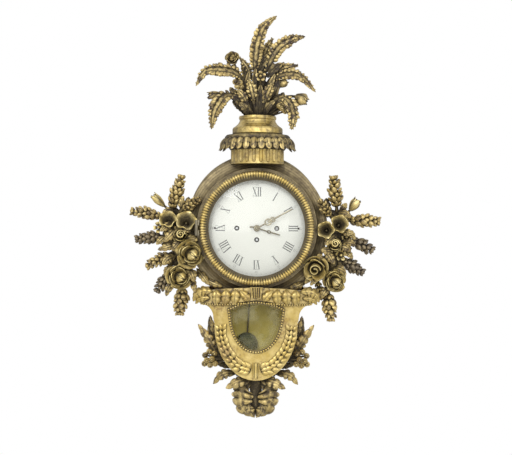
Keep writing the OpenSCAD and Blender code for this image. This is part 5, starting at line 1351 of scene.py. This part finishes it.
# %% Ring tree
def ring_tree():
    tree, given, out = new_tree("leaf_ring", [
        ("Shape", "Object"), ("Leaves", "Int"), ("Radius", "Float"), ("Wall", "Float"),
        ("Centre", "Vector"), ("Turn", "Rotation"), ("Finish", "Material")])
    circle = tree_node(tree, "GeometryNodeMeshCircle", {}, {
        "Vertices": given["Leaves"], "Radius": given["Radius"]})
    place = tree_node(tree, "GeometryNodeInputPosition")[0]
    depth = tree_node(tree, "ShaderNodeSeparateXYZ", {}, {0: place})["Y"]
    clear = tree_node(tree, "FunctionNodeCompare", {"operation": "LESS_THAN"}, {
        "A": depth, "B": given["Wall"]})[0]
    shape = tree_node(tree, "GeometryNodeObjectInfo", {}, {"Object": given["Shape"]})
    turned = tree_node(tree, "FunctionNodeAlignRotationToVector", {"axis": "Y", "pivot_axis": "Z"}, {
        "Vector": place})
    ring = tree_node(tree, "GeometryNodeInstanceOnPoints", {}, {
        "Points": circle[0], "Selection": clear, "Instance": shape["Geometry"], "Rotation": turned[0]})
    moved = tree_node(tree, "GeometryNodeTransform", {}, {
        "Geometry": ring[0], "Translation": given["Centre"], "Rotation": given["Turn"]})
    close_tree(tree, [given["Geometry"], moved[0]], given["Finish"], out)
    return tree


def leaf_shape(name, finish, path, half_w, facing, lobes, **more):
    carving = Carving()
    carve_leaf(carving, path, half_w, facing, lobes, **more)
    return bpy.data.objects.new(name, carving.mesh(name, finish, lambda p: p * MM))


RING = ring_tree()
print("ring tree", len(RING.nodes), "nodes")

# %% [markdown]
# The capital is a turned collar with broad leaves that hang over its edge. It stands against the wall,
# so the points of the collar that would be behind the wall are drawn forward to it.

# %% Leaf capital
CAPITAL_LEAVES = 30
CAPITAL_R = 63.2
CAPITAL_Z = 166.0
CAPITAL_BACK_GAP = 22.0
CAPITAL_WALL = VASE_AXIS - CAPITAL_BACK_GAP
CAPITAL_PROFILE = [
    (166.4, 53, 1.0), (166.4, 58, 1.0), (176, 66, 1.0), (187, 68, 0.9), (190, 70, 0.7), (194, 69.5, 0.62),
    (197.6, 66, 0.75), (197.6, 50, 0.8),
]
CAPITAL_LEAF_PATH = [[0, -1, 25], [0, 9, 23], [0, 15.5, 14], [0, 16.5, 5], [0, 19, -1]]
CAPITAL_STYLE = {"depth": 0.16, "cup": 0.40, "puff": 0.10, "rib": 0.16, "root": 0.4, "vein": 0.45}


def turned_ring(carving, profile, axis_d, sides=72):
    angle = full_turn(sides)
    rings = [np.stack([r * np.cos(angle), np.full(sides, y), axis_d - r * np.sin(angle)], -1)
             for y, r, recess in profile]
    carving.loft(np.array(rings), np.array([[recess] * sides for y, r, recess in profile]))


capital_carving = Carving()
turned_ring(capital_carving, CAPITAL_PROFILE, VASE_AXIS)
capital_leaf = leaf_shape(
    "capital_leaf", capital_gilding, CAPITAL_LEAF_PATH, 8.4, [0, 1, 0.3], 2, **CAPITAL_STYLE)
capital_mesh = capital_carving.mesh("capital", capital_gilding)
for point in capital_mesh.vertices:
    point.co.y = min(point.co.y, 0.0)
capital_mesh = run_tree(
    "capital_leaf_ring", capital_mesh, RING, Shape=capital_leaf, Leaves=CAPITAL_LEAVES,
    Radius=CAPITAL_R * MM, Wall=CAPITAL_WALL * MM, Centre=(0.0, -VASE_AXIS * MM, CAPITAL_Z * MM),
    Turn=(0.0, 0.0, 0.0), Finish=capital_gilding)
place_piece("capital_leaf_ring", capital_mesh, "leaf_capital")

# %% [markdown]
# The leaves of the bezel are cut in its slope, point outwards. They belong to the bezel's body, so they
# swing with it when the dial is opened.

# %% Bezel leaves
BEZEL_LEAVES = 128
BEZEL_LEAF_R = 105.6
BEZEL_LEAF_D = 107.0
BEZEL_LEAF_PATH = [[0, 0.4, 0.0], [0, 4.6, 3.8], [0, 8.8, 5.2], [0, 12.6, 3.2], [0, 14.8, -2.2]]
BEZEL_STYLE = {"depth": 0.10, "cup": 0.60, "puff": 0.2, "rib": 0.25, "thick": 1.6, "root": 0.4,
               "across": 5, "vein": 1.5}
bezel_leaf = leaf_shape("bezel_leaf", tip_gilding, BEZEL_LEAF_PATH, 4.0, [0, 0.2, 1], 1, **BEZEL_STYLE)
bezel_mesh = run_tree(
    "bezel_leaf_ring", bpy.data.meshes.new("bezel_leaf_ring"), RING, Shape=bezel_leaf,
    Leaves=BEZEL_LEAVES, Radius=BEZEL_LEAF_R * MM, Wall=1.0, Centre=(0.0, -BEZEL_LEAF_D * MM, 0.0),
    Turn=(math.pi / 2, 0.0, 0.0), Finish=tip_gilding)
place_piece("bezel_leaf_ring", bezel_mesh, body="bezel", slot="giltwood")

# %% [markdown]
# The drum is thicker at the shoulders, where it carries the vase. A turned bead that starts thin at the
# sides and swells towards the top gives that, as a loft of ovals along the drum's edge.

# %% Shoulder bead
SHOULDER_IN = 141.0
SHOULDER_D = 42.0
SHOULDER_HALF = 12.0
SHOULDER_REACH = 143.0
SHOULDER_SWELL = 16.0
SHOULDER_LEAN = 2.5
SHOULDER_ARC = np.radians(np.linspace(24.0, 156.0, 67))
SHOULDER_OVAL = full_turn(14)

shoulder = Carving()
shoulder_rings = []
for a in SHOULDER_ARC:
    reach = SHOULDER_REACH + SHOULDER_SWELL * math.sin(a) - SHOULDER_LEAN * math.cos(a)
    half = (max(reach, SHOULDER_IN + 1.0) - SHOULDER_IN) / 2
    r = SHOULDER_IN + half + half * np.cos(SHOULDER_OVAL)
    depth = SHOULDER_D - SHOULDER_HALF * np.sin(SHOULDER_OVAL)
    shoulder_rings.append(np.stack([r * math.cos(a), r * math.sin(a), depth], -1))
shoulder.loft(np.array(shoulder_rings), 0.15)
shoulder.piece("drum_shoulder_bead", drum_gilding, slot="giltwood")

# %% [markdown]
# ## The lower case
# Below the dial the case narrows to a bowl with a window for the pendulum. Its front is bowed, so
# everything carved on it follows the bow. A cornice of leaves hangs from a keystone, a row of beads
# runs round the window, two laurel branches meet under a strap, and leaves and berries spring from the
# sides. Left and right are mirror images, so each piece is carved once and once more with x turned
# round.

# %% Bow and mirror
BOW_R = 230.0
BOW_CENTRE = -134.0


def bow(x):
    return BOW_CENTRE + np.sqrt(BOW_R ** 2 - np.asarray(x, float) ** 2)


def bow_facing(x):
    return unit([x / BOW_R, 0.0, math.sqrt(1.0 - (x / BOW_R) ** 2)])


def on_bow(points, lift):
    return [[x, y, float(bow(x)) + lift] for x, y in points]


def flipped(path):
    return [[-p[0]] + list(p[1:]) for p in path]


def both(path):
    return (path, flipped(path))


def mirrored_leaves(carving, leaves, **more):
    for path, half_w, facing, lobes in leaves:
        for way, side in zip(both(path), (1, -1)):
            carve_leaf(carving, way, half_w, [facing[0] * side, facing[1], facing[2]], lobes, **more)


print("front of the bow at the middle", bow(0.0), "mm, at 80 mm", round(float(bow(80.0)), 1), "mm")

# %% [markdown]
# The cornice is a row of puffed leaves that hang side by side, with a ribbed keystone in the middle and
# two longer leaves at each end that curl round the corner.

# %% Cornice garland
CORNICE_OUT = 6.0
CORNICE_LEAVES = [
    [[[14, -153], [22, -143], [35, -130]], 11, 2], [[[44, -128], [45, -143], [46, -161]], 12.5, 2],
    [[[63, -128], [65, -144], [66, -162]], 13, 2], [[[84, -129], [85, -145], [86, -163]], 13, 2],
]
GARLAND_RISE = 6.5
KEY_TOP = -124.0
KEY_LOW = -146.0
KEY_FRONT = 108.0
KEY_HALF = [9.6, 12.6]
KEY_RIBS = 5
GARLAND_STYLE = {"depth": 0.18, "cup": 0.45, "puff": 0.34, "rib": 0.10, "thick": 7.0, "root": 0.05,
                 "across": 11, "vein": 0.05}
CORNICE_ENDS = [
    [[[92, -134, 84], [112, -132, 80], [128, -140, 74], [134, -156, 68]], 13, [0.4, 0.3, 0.9], 5],
    [[[98, -148, 83], [112, -147, 80], [124, -152, 74], [129, -161, 68]], 9, [0.5, 0.2, 0.8], 4],
]

garland = Carving()
for path, half_w, lobes in CORNICE_LEAVES:
    for way in both(path):
        raised = on_bow(way, CORNICE_OUT + 0.5)
        raised[1][2] += GARLAND_RISE
        carve_leaf(garland, raised, half_w, bow_facing(way[1][0]), lobes, **GARLAND_STYLE)
mirrored_leaves(garland, CORNICE_ENDS, depth=0.30, cup=0.40, thick=5.0, root=0.2)
key_x = np.linspace(-1.0, 1.0, 25)[None, :]
key_y = np.linspace(KEY_TOP, KEY_LOW, 7)[:, None]
key_half = np.interp(key_y, [KEY_LOW, KEY_TOP], KEY_HALF)
key_wave = np.cos(key_x * math.pi * KEY_RIBS)
key_rise = KEY_FRONT + 1.2 + 1.0 * key_wave - 2.0 * np.abs(key_x) ** 8
key_points = np.stack([key_x * key_half, key_y + 0 * key_x, key_rise + 0 * key_y], -1)
# Painted shade in the grooves between the keystone's ribs.
garland.shell(key_points, 2.0, 0.45 - 0.5 * key_wave + 0 * key_y)
garland.piece("cornice_leaf_carving", bright_gilding, "cornice_garland")

# %% [markdown]
# Under the ends of the cornice the bowl flares out in a hollow curve. Its outline is drawn once, given
# the depth of the case, and drawn again for the other side with x turned round.

# %% Coves under the cornice
COVE_BACK = 16.0
COVE_LINE = [
    (84, -148), (84, -202), (89.5, -197), (91, -184), (94, -172), (98, -162), (104, -155), (112, -150),
]

coves = Carving()
for side in (1, -1):
    line = [(side * x, y) for x, y in COVE_LINE[::side]]
    edges = (lambda x: COVE_BACK, lambda x: float(bow(x)) - 1.0)
    coves.loft(np.array([[[x, y, edge(x)] for x, y in line] for edge in edges]), 0.1)
coves.piece("cornice_coves", bright_gilding)

# %% [markdown]
# Rows of beads follow a path: one round the window and one under the cornice. The tree turns a line of
# points into a curve, walks along it in equal steps and sets a bead at each.

# %% Bead tree
BEAD_STEP = 5.6
BEAD_SIZE = 5.6
BEAD_STATIONS = [(-0.48, 0.10), (-0.30, 0.36), (0.0, 0.46), (0.30, 0.36), (0.48, 0.10)]


def bead_tree():
    tree, given, out = new_tree("beads_on_path", [
        ("Shape", "Object"), ("Step", "Float"), ("Size", "Float"), ("Finish", "Material")])
    curve = tree_node(tree, "GeometryNodeMeshToCurve", {}, {"Mesh": given["Geometry"]})
    walk = tree_node(tree, "GeometryNodeCurveToPoints", {"mode": "LENGTH"}, {
        "Curve": curve[0], "Length": given["Step"]})
    turned = tree_node(tree, "FunctionNodeAlignRotationToVector", {"axis": "Y"}, {
        "Vector": walk["Tangent"]})
    shape = tree_node(tree, "GeometryNodeObjectInfo", {}, {"Object": given["Shape"]})
    beads = tree_node(tree, "GeometryNodeInstanceOnPoints", {}, {
        "Points": walk["Points"], "Instance": shape["Geometry"], "Rotation": turned[0],
        "Scale": given["Size"]})
    close_tree(tree, [beads[0]], given["Finish"], out)
    return tree


def line_mesh(name, lines):
    points = []
    edges = []
    for line, closed in lines:
        first = len(points)
        points.extend(line)
        edges.extend([(first + i, first + i + 1) for i in range(len(line) - 1)])
        if closed:
            edges.append((len(points) - 1, first))
    made = bpy.data.meshes.new(name)
    made.from_pydata(to_world(points).tolist(), edges, [])
    return made


# Painted shade towards both ends of a bead, where it meets the next.
def bead_shade(y, x, z):
    return np.full(len(x), 0.1 + 1.4 * abs(y) ** 1.3)


bead = small_shape("bead", BEAD_STATIONS, 8, 1.0, bead_shade)
print("bead faces", len(bead.data.polygons))

# %% [markdown]
# The window has straight sides that flare a little, a round bottom and a low arch on top. One function
# draws it, grown or shrunk, so the beads and the lining behind the glass follow the same outline.

# %% Window outline and bead rows
WINDOW_W = 55.0
WINDOW_H = 84.0
WINDOW_RISE = 14.5
WINDOW_CORNER = -173.0
WINDOW_FLARE = 0.045
FLARE_DEPTH = 0.12
WINDOW_FULLNESS = 2.4
FRAME_T = 3.5
BEAD_INSET = 3.2
CORNICE_BEADS_X = np.linspace(26, 112, 30)
CORNICE_BEADS_LOW = -161.0
CORNICE_BEADS_RISE = 5.5
CORNICE_BEADS_LEVEL = 66.0


def window_outline(grow):
    turn = np.radians(np.arange(0, 181, 5))
    drop = np.sin(turn)
    waist = 1.0 - WINDOW_FLARE * (1.0 - np.exp(-drop / FLARE_DEPTH))
    half = WINDOW_W * waist * np.sqrt(np.maximum(1.0 - drop ** WINDOW_FULLNESS, 0.0))
    low = np.stack([np.sign(np.cos(turn)) * half, WINDOW_CORNER - WINDOW_H * drop], -1)
    across = np.linspace(-1.0, 1.0, 17)[1:-1]
    high = np.stack([WINDOW_W * across, WINDOW_CORNER + WINDOW_RISE * (1.0 - across ** 2)], -1)
    line = np.concatenate([low, high])
    way = unit(np.roll(line, -1, axis=0) - np.roll(line, 1, axis=0))
    return line + grow * np.stack([-way[:, 1], way[:, 0]], -1)


cornice_rise = CORNICE_BEADS_RISE * np.maximum(0.0, 1.0 - CORNICE_BEADS_X / CORNICE_BEADS_LEVEL)
cornice_line = np.stack([CORNICE_BEADS_X, CORNICE_BEADS_LOW + cornice_rise], -1)
bead_lines = [(on_bow(window_outline(BEAD_INSET), FRAME_T + 0.4), True)]
bead_lines += [(on_bow(line, CORNICE_OUT + 0.6), False) for line in both(cornice_line)]
bead_mesh = run_tree("bead_rows", line_mesh("bead_lines", bead_lines), bead_tree(), Shape=bead,
                     Step=BEAD_STEP * MM, Size=BEAD_SIZE * MM, Finish=bright_gilding)
place_piece("bead_rows", bead_mesh)

# %% [markdown]
# Behind the pendulum the board is lined with painted paper that has gone olive and brown. It lies flat
# on the board, so it clears the bob, and it is cut a little larger than the window.

# %% Lining behind the pendulum
LINING_BACK = 14.05
LINING_FRONT = 14.45
LINING_GROW = 16.0


def lining_finish():
    paint = Paint("old_lining")
    cloud = paint.ramp(paint.noise(22.0, 4.0, 0.6), 0.35, 0.68)
    stain = paint.ramp(paint.noise(9.0, 3.0), 0.45, 0.70)
    colour = paint.mix(cloud, (0.76, 0.69, 0.34, 1.0), (0.98, 0.93, 0.56, 1.0))
    colour = paint.mix(stain * 0.4, colour, (0.36, 0.33, 0.22, 1.0))
    return paint.finish(base_color=colour, roughness=0.85)


lining = Carving()
lining_line = window_outline(LINING_GROW)[::-1]
lining_rings = [[[x, y, depth] for x, y in lining_line] for depth in (LINING_BACK, LINING_FRONT)]
lining.loft(np.array(lining_rings), 0.0)
lining.piece("window_lining", lining_finish(), slot="oak")

# %% [markdown]
# The laurel branches are three rows of small leaves along a path on the bowl, so they grow on seeds as
# the grains do. The strap that binds them is a short block with two grooves.

# %% Laurel branches and strap
LAUREL_PATH = [[10, -299], [35, -289], [58, -265], [71, -237], [75, -210]]
LAUREL_SETS = 11
LAUREL_SIZE = 20.0
LAUREL_SPREAD = 3.4
LAUREL_SPLAY = 0.62
LAUREL_LIFT = {-1: 1.2, 0: 2.6, 1: 1.2}
STRAP_HALF = [(-283, 8.5), (-290, 8.0), (-300, 7.2), (-308, 7.6), (-315, 8.5)]
STRAP_ACROSS = np.array([-1.0, -0.8, -0.5, -0.4, -0.3, 0.3, 0.4, 0.5, 0.8, 1.0])
STRAP_RISE = np.array([-2.0, 3.2, 4.2, 2.4, 4.6, 4.6, 2.4, 4.2, 3.2, -2.0])

laurel = Carving()
for side in (1, -1):
    for number in range(LAUREL_SETS):
        t = (number + 0.15) / LAUREL_SETS
        spot = smooth_path(LAUREL_PATH, t)
        way = path_heading(LAUREL_PATH, t)
        across = np.array([-way[1], way[0]])
        for k in (-1, 0, 1):
            place = spot + across * k * LAUREL_SPREAD
            face = bow_facing(place[0])
            tip = way + across * k * LAUREL_SPLAY
            point = np.array([place[0], place[1], float(bow(place[0])) + LAUREL_LIFT[k]])
            aim = np.array([tip[0], tip[1], -tip[0] * face[0] / face[2] + 0.12])
            flip = np.array([side, 1, 1])
            size = LAUREL_SIZE * (1.0 - 0.25 * t) * (0.85 if k == 0 else 1.0) * chance.uniform(0.85, 1.1)
            laurel.seed(point * flip, aim * flip, face * flip, size)
    twig = [np.array(p) * [side, 1, 1] for p in on_bow(LAUREL_PATH, 0.5)]
    carve_stem(laurel, twig, [2.4, 2.2, 1.6], 0.9, 8, 20)
strap_front = bow(0.0) + STRAP_RISE
strap_rows = [np.stack([half * STRAP_ACROSS, y + 0 * STRAP_ACROSS, strap_front], -1)
              for y, half in STRAP_HALF]
# Painted shade in the strap's two grooves.
strap_dark = np.where(np.abs(np.abs(STRAP_ACROSS) - 0.4) < 0.05, 0.7, 0.05)
laurel.shell(np.array(strap_rows), 2.0, np.broadcast_to(strap_dark, (len(STRAP_HALF), len(STRAP_ACROSS))))
grow_piece(laurel, "laurel_carving", bright_gilding, laurel_leaf, "laurel_branches")

# %% [markdown]
# Toothed leaves spring from the sides and the underside of the bowl, darkened a little with painted
# shade because they turn away from the light, and darker leaves with more painted shade lie behind
# them. A cluster of berries hangs at each lower corner. Under it all is the pendant: two acanthus
# halves that curl towards each other and leave a dark gap.

# %% Side leaves and berries
SIDE_LEAVES = [
    [[[70, -281, 41], [87, -262, 46], [102, -239, 50], [124, -206, 46]], 14, [0.3, 0, 1], 7],
    [[[86, -240, 34], [93, -214, 34], [99, -188, 32]], 6, [0.2, 0, 1], 4],
    [[[38, -309, 60], [60, -306, 70], [77, -313, 72], [90, -331, 66]], 13, [0.2, 0.5, 0.8], 4],
    [[[66, -284, 31], [84, -284, 30], [99, -262, 30]], 8, [0.2, 0, 1], 4],
]
SIDE_SHADE = [
    [[[72, -284, 26], [90, -256, 28], [98, -226, 28], [101, -192, 26]], 9, [0.2, 0, 1], 5],
    [[[48, -298, 40], [63, -294, 44], [82, -292, 44]], 8, [0.2, 0, 1], 3],
]
SIDE_ROOTS = [
    [[54, -288, 40], [74, -278, 42]], [[80, -232, 34], [92, -226, 34]], [[30, -308, 60], [42, -311, 62]],
    [[50, -288, 34], [70, -282, 30]],
]
BERRIES = [
    [88, -267, 62], [99, -263, 60], [108, -271, 58], [93, -278, 68], [104, -281, 66], [86, -288, 66],
    [97, -291, 64], [109, -289, 58],
]
BERRY_ROOT = [60, -279, 60]
BERRY_R = 6.8

side_carving = Carving()
# Painted shade: a little on the side leaves, much more on the leaves behind them.
mirrored_leaves(side_carving, SIDE_LEAVES, depth=0.36, cup=0.30, thick=3.2, shade=0.10)
mirrored_leaves(side_carving, SIDE_SHADE, depth=0.20, thick=3.0, shade=0.65)
for path in SIDE_ROOTS:
    for way in both(path):
        carve_stem(side_carving, way, [5, 4], 0.9, 8, 5)
side_carving.piece("side_leaf_carving", leaf_gilding, "side_leaves")

cluster = Carving()
for spot in BERRIES:
    for place, root in zip(both([spot]), both([BERRY_ROOT])):
        carve_stem(cluster, [root[0], place[0]], [2.4, 2.0], 0.95, 7, 4)
        cluster.seed(np.array(place[0]) - [0, 0, BERRY_R], FORWARD, [0, 1, 0], 2 * BERRY_R)
grow_piece(cluster, "berry_carving", leaf_gilding, berry, "berry_clusters")

# %% [markdown]
# The pendant closes the case below. A stem painted dark as shade fills the gap between its halves, and
# the leaves overlap it from both sides.

# %% Pendant
PENDANT_STEM = [
    [-316, 15], [-324, 15], [-330, 14], [-340, 13], [-352, 12], [-364, 12], [-376, 12], [-386, 10],
    [-395, 5],
]
PENDANT_D = 58.0
PENDANT_LEAVES = [
    [[[8, -326, 64], [26, -336, 74], [31, -358, 76], [26, -383, 68], [4, -400, 58]],
     25, [0.35, 0, 0.95], 6],
    [[[8, -322, 68], [36, -322, 84], [63, -338, 82]], 13, [0, 0.5, 0.85], 4],
    [[[14, -372, 76], [12, -387, 78], [2, -402, 66]], 11, [0.1, -0.2, 1], 3],
]

pendant = Carving()
pendant_line = [[0, y, PENDANT_D] for y, r in PENDANT_STEM]
# The stem is painted dark as shade.
carve_stem(pendant, pendant_line, [r for y, r in PENDANT_STEM], 1.0, 12, 24, 0.15)
mirrored_leaves(pendant, PENDANT_LEAVES, depth=0.26, cup=0.34, puff=0.26, thick=4.0)
pendant.piece("pendant_carving", leaf_gilding, "pendant")

# %% [markdown]
# ## The dial
# The chapter ring is painted on the enamel: Roman figures with strong and hairline strokes, tops
# outwards, four written with four strokes, and faint small figures for the minutes outside them.
# Painted marks have no thickness worth measuring, but a mark that only a texture shows would blur, so
# each stroke is a very thin slab laid on the dome. Strokes are drawn in a flat frame, across and
# outwards, and then wrapped on the dial.

# %% Strokes on the dome
DOME_R = 669.56
DOME_UNDER_R = 667.06
DOME_UNDER = 86.0
DOME_BACK = DOME_UNDER - DOME_UNDER_R
INK_T = 0.25


def ink_finish(name, dark, worn):
    paint = Paint(name)
    fade = paint.ramp(paint.noise(120.0, 3.0), 0.35, 0.75)
    colour = paint.mix(fade, dark, worn)
    return paint.finish(base_color=colour, roughness=0.30 + fade * 0.2)


figure_ink = ink_finish("figure_ink", (0.055, 0.055, 0.060, 1.0), (0.16, 0.16, 0.165, 1.0))
minute_ink = ink_finish("minute_ink", (0.46, 0.46, 0.44, 1.0), (0.58, 0.58, 0.56, 1.0))


def dome(x, y):
    return DOME_BACK + np.sqrt(DOME_R ** 2 - x ** 2 - y ** 2)


def on_dial(across, outward, turn):
    x = across * math.cos(turn) + outward * math.sin(turn)
    y = outward * math.cos(turn) - across * math.sin(turn)
    return np.stack([x, y, dome(x, y) + 0.5 * INK_T], -1)


def draw_stroke(carving, turn, start, end, width):
    start = np.array(start, float)
    end = np.array(end, float)
    way = unit(end - start)
    normal = np.array([-way[1], way[0]]) * width / 2
    t = np.linspace(0.0, 1.0, 5)[:, None, None]
    s = np.array([-1.0, 1.0])[None, :, None]
    flat = start + (end - start) * t + normal * s
    carving.shell(on_dial(flat[..., 0], flat[..., 1], turn)[:, ::-1], INK_T, 0.0, back_recess=0.0)


print("dial centre", round(float(dome(0.0, 0.0)), 2), "mm from the wall")

# %% [markdown]
# A Roman figure is a row of strokes. One diagonal of each V and X is strong and the other a hairline,
# as a broad pen leaves them, and hairlines join the heads and feet.

# %% Roman figures
FIGURE_R = 77.0
FIGURE_H = 19.0
THICK_STROKE = 1.7
HAIRLINE = 0.35
ROMAN = ["XII", "I", "II", "III", "IIII", "V", "VI", "VII", "VIII", "IX", "X", "XI"]
ADVANCE = {"I": 4.7, "V": 9.6, "X": 10.0}


def draw_roman(carving, text, hour):
    turn = 2 * math.pi * hour / 12
    low = FIGURE_R - FIGURE_H / 2
    high = FIGURE_R + FIGURE_H / 2
    place = -sum(ADVANCE[c] for c in text) / 2
    for letter in text:
        middle = place + ADVANCE[letter] / 2
        wide = 0.36 * ADVANCE[letter]
        if letter == "I":
            draw_stroke(carving, turn, (middle, low), (middle, high), THICK_STROKE)
        elif letter == "V":
            draw_stroke(carving, turn, (middle - wide, high), (middle, low), THICK_STROKE)
            draw_stroke(carving, turn, (middle, low), (middle + wide, high), HAIRLINE)
        else:
            draw_stroke(carving, turn, (middle - wide, high), (middle + wide, low), THICK_STROKE)
            draw_stroke(carving, turn, (middle - wide, low), (middle + wide, high), HAIRLINE)
        place += ADVANCE[letter]
    span = sum(ADVANCE[c] for c in text) / 2 - 0.4
    for edge in (low, high):
        draw_stroke(carving, turn, (-span, edge), (span, edge), HAIRLINE)


figures = Carving()
for hour, text in enumerate(ROMAN):
    draw_roman(figures, text, hour)
figures.piece("dial_figures", figure_ink, slot="enamel")

# %% [markdown]
# The small minute figures use Blender's own plain font: a text is made a mesh, and its points are
# wrapped on the dome one by one. Dots mark the single minutes. Two small screws hold the dial, and each
# winding hole has a dark metal rim.

# %% Minute figures, dots, screws and hole rims
MINUTE_R = 92.5
MINUTE_H = 5.0
DOT_R = 97.2
DOT_SIZE = 1.2
SCREW_R = 88.3
SCREW_HEAD = 2.2
WIND_HOLES = [(42.0, 0.0), (-42.0, 0.0), (0.0, -24.0)]
RIM_PROFILE = [(4.0, -0.6), (4.0, 0.5), (4.5, 0.9), (5.0, 0.7), (5.3, 0.1), (5.3, -0.6)]


def draw_number(carving, text, turn):
    curve = bpy.data.curves.new("number", "FONT")
    curve.body = text
    curve.size = MINUTE_H * 1.4
    curve.align_x = "CENTER"
    curve.resolution_u = 2
    made = bpy.data.objects.new("number", curve)
    bpy.context.scene.collection.objects.link(made)
    depsgraph = bpy.context.evaluated_depsgraph_get()
    flat = bpy.data.meshes.new_from_object(made.evaluated_get(depsgraph), depsgraph=depsgraph)
    points = np.array([p.co[:] for p in flat.vertices])
    top = on_dial(points[:, 0], points[:, 1] + MINUTE_R - MINUTE_H / 2, turn)
    count = len(top)
    faces = [tuple(f.vertices) for f in flat.polygons]
    under = [tuple(i + count for i in reversed(f)) for f in faces]
    sides = {}
    for face in faces:
        for a, b in zip(face, face[1:] + face[:1]):
            sides[(a, b)] = (b, a, a + count, b + count)
    walls = [wall for (a, b), wall in sides.items() if (b, a) not in sides]
    carving.add(np.concatenate([top, top - [0, 0, INK_T]]), faces + under + walls, np.zeros(2 * count))
    bpy.data.objects.remove(made)
    bpy.data.curves.remove(curve)
    bpy.data.meshes.remove(flat)


minutes = Carving()
for number in range(12):
    draw_number(minutes, str(5 * (number or 12)), 2 * math.pi * number / 12)
for number in range(60):
    turn = 2 * math.pi * number / 60
    draw_stroke(minutes, turn, (0, DOT_R - DOT_SIZE / 2), (0, DOT_R + DOT_SIZE / 2), DOT_SIZE)
minutes.piece("minute_figures", minute_ink, slot="enamel")

fittings = Carving()
for x, y in WIND_HOLES:
    fittings.lathe((x, y, float(dome(x, y))), RIM_PROFILE, 28, 0.0)
for side in (-1, 1):
    spot = [side * SCREW_R, 0.0, float(dome(SCREW_R, 0.0))]
    carve_boss(fittings, spot, FORWARD, SCREW_HEAD, 0.0)
fittings.piece("dial_fittings", iron, slot="steel")

# %% [markdown]
# ## The hands
# Both hands are pierced gilt brass. The minute hand has two pairs of scrolls in its middle; the hour
# hand is a thin pointer with a small open scroll and a short tail. A fret saw follows lines, so each
# hand is a set of ribbons along curves, all of one thickness and overlapping where they meet. The
# scrolls come in pairs, so one curve is drawn twice, the second time with x turned round.

# %% Pierced hands
HAND_T = 1.2
MINUTE_DEPTH = 94.2
HOUR_DEPTH = 91.0
MINUTE_TURN = math.radians(61)
HOUR_TURN = math.radians(106)
MINUTE_COLLAR = (3.5, 6.4, 1.2)
HOUR_COLLAR = (4.7, 7.0, 1.0)
MINUTE_BOSS = (2.1, 4.0)
MINUTE_BARS = [
    ([(0, 5), (0, 12), (0, 22)], [2.8, 2.0, 1.8]), ([(0, 31), (0, 56), (0, 84)], [1.8, 2.8, 2.0, 0.5]),
]
MINUTE_SCROLLS = [
    ([(0, 20), (4.8, 23), (6.0, 29), (2.8, 33), (0.6, 29.5), (2.4, 27)], [1.8, 2.0, 1.2]),
    ([(0, 42), (3.6, 41), (4.4, 36.5), (2.0, 33)], [1.6, 1.8, 1.2]),
]
HOUR_BARS = [
    ([(0, 6), (0, 14), (0, 24)], [2.2, 1.5, 1.3]), ([(0, 30), (0, 41), (0, 51)], [1.4, 1.9, 1.4, 0.4]),
    ([(0, -6), (0, -10), (1.5, -15)], [2.2, 1.8, 2.6]),
]
HOUR_SCROLLS = [([(0, 22), (2.2, 25), (2.3, 28), (0, 31)], [1.2, 1.2, 0.9])]


def ribbon(carving, turn, depth, path, widths, steps=22):
    t = np.linspace(0.0, 1.0, steps)
    flat = smooth_path(path, t)
    way = path_heading(path, t)
    normal = np.stack([-way[:, 1], way[:, 0]], -1)
    half = np.interp(t, np.linspace(0, 1, len(widths)), widths)[:, None] / 2
    s = np.array([-1.0, -0.4, 0.4, 1.0])
    lift = np.array([-0.35, 0.0, 0.0, -0.35])
    across = flat[:, None, 0] + normal[:, None, 0] * half * s
    outward = flat[:, None, 1] + normal[:, None, 1] * half * s
    x = across * math.cos(turn) + outward * math.sin(turn)
    y = outward * math.cos(turn) - across * math.sin(turn)
    z = np.broadcast_to(depth + HAND_T + lift, x.shape)
    carving.shell(np.stack([x, y, z], -1)[:, ::-1], HAND_T * 0.8, 0.15, back_recess=0.3)


def pierced_hand(turn, depth, collar, bars, scrolls):
    carving = Carving()
    inner, outer, high = collar
    section = [(inner, 0.0), (inner, high), (inner + 0.6, high + 0.4), (outer - 0.7, high), (outer, 0.3),
               (outer, 0.0)]
    carving.lathe((0.0, 0.0, depth), section, 32, 0.1)
    for path, widths in bars:
        ribbon(carving, turn, depth, path, widths)
    for path, widths in scrolls:
        for way in both(path):
            ribbon(carving, turn, depth, way, widths)
    return carving


minute_carving = pierced_hand(MINUTE_TURN, MINUTE_DEPTH, MINUTE_COLLAR, MINUTE_BARS, MINUTE_SCROLLS)
carve_boss(minute_carving, [0, 0, MINUTE_DEPTH + MINUTE_BOSS[0]], FORWARD, MINUTE_BOSS[1], 0.1)
minute_carving.piece(
    "pierced_minute_hand", gilt_brass, "minute_hand", body="minute_work", slot="gilt_brass")
hour_carving = pierced_hand(HOUR_TURN, HOUR_DEPTH, HOUR_COLLAR, HOUR_BARS, HOUR_SCROLLS)
hour_carving.piece("pierced_hour_hand", dark_brass_and_shade, "hour_hand", body="hour_work", slot="gilt_brass")
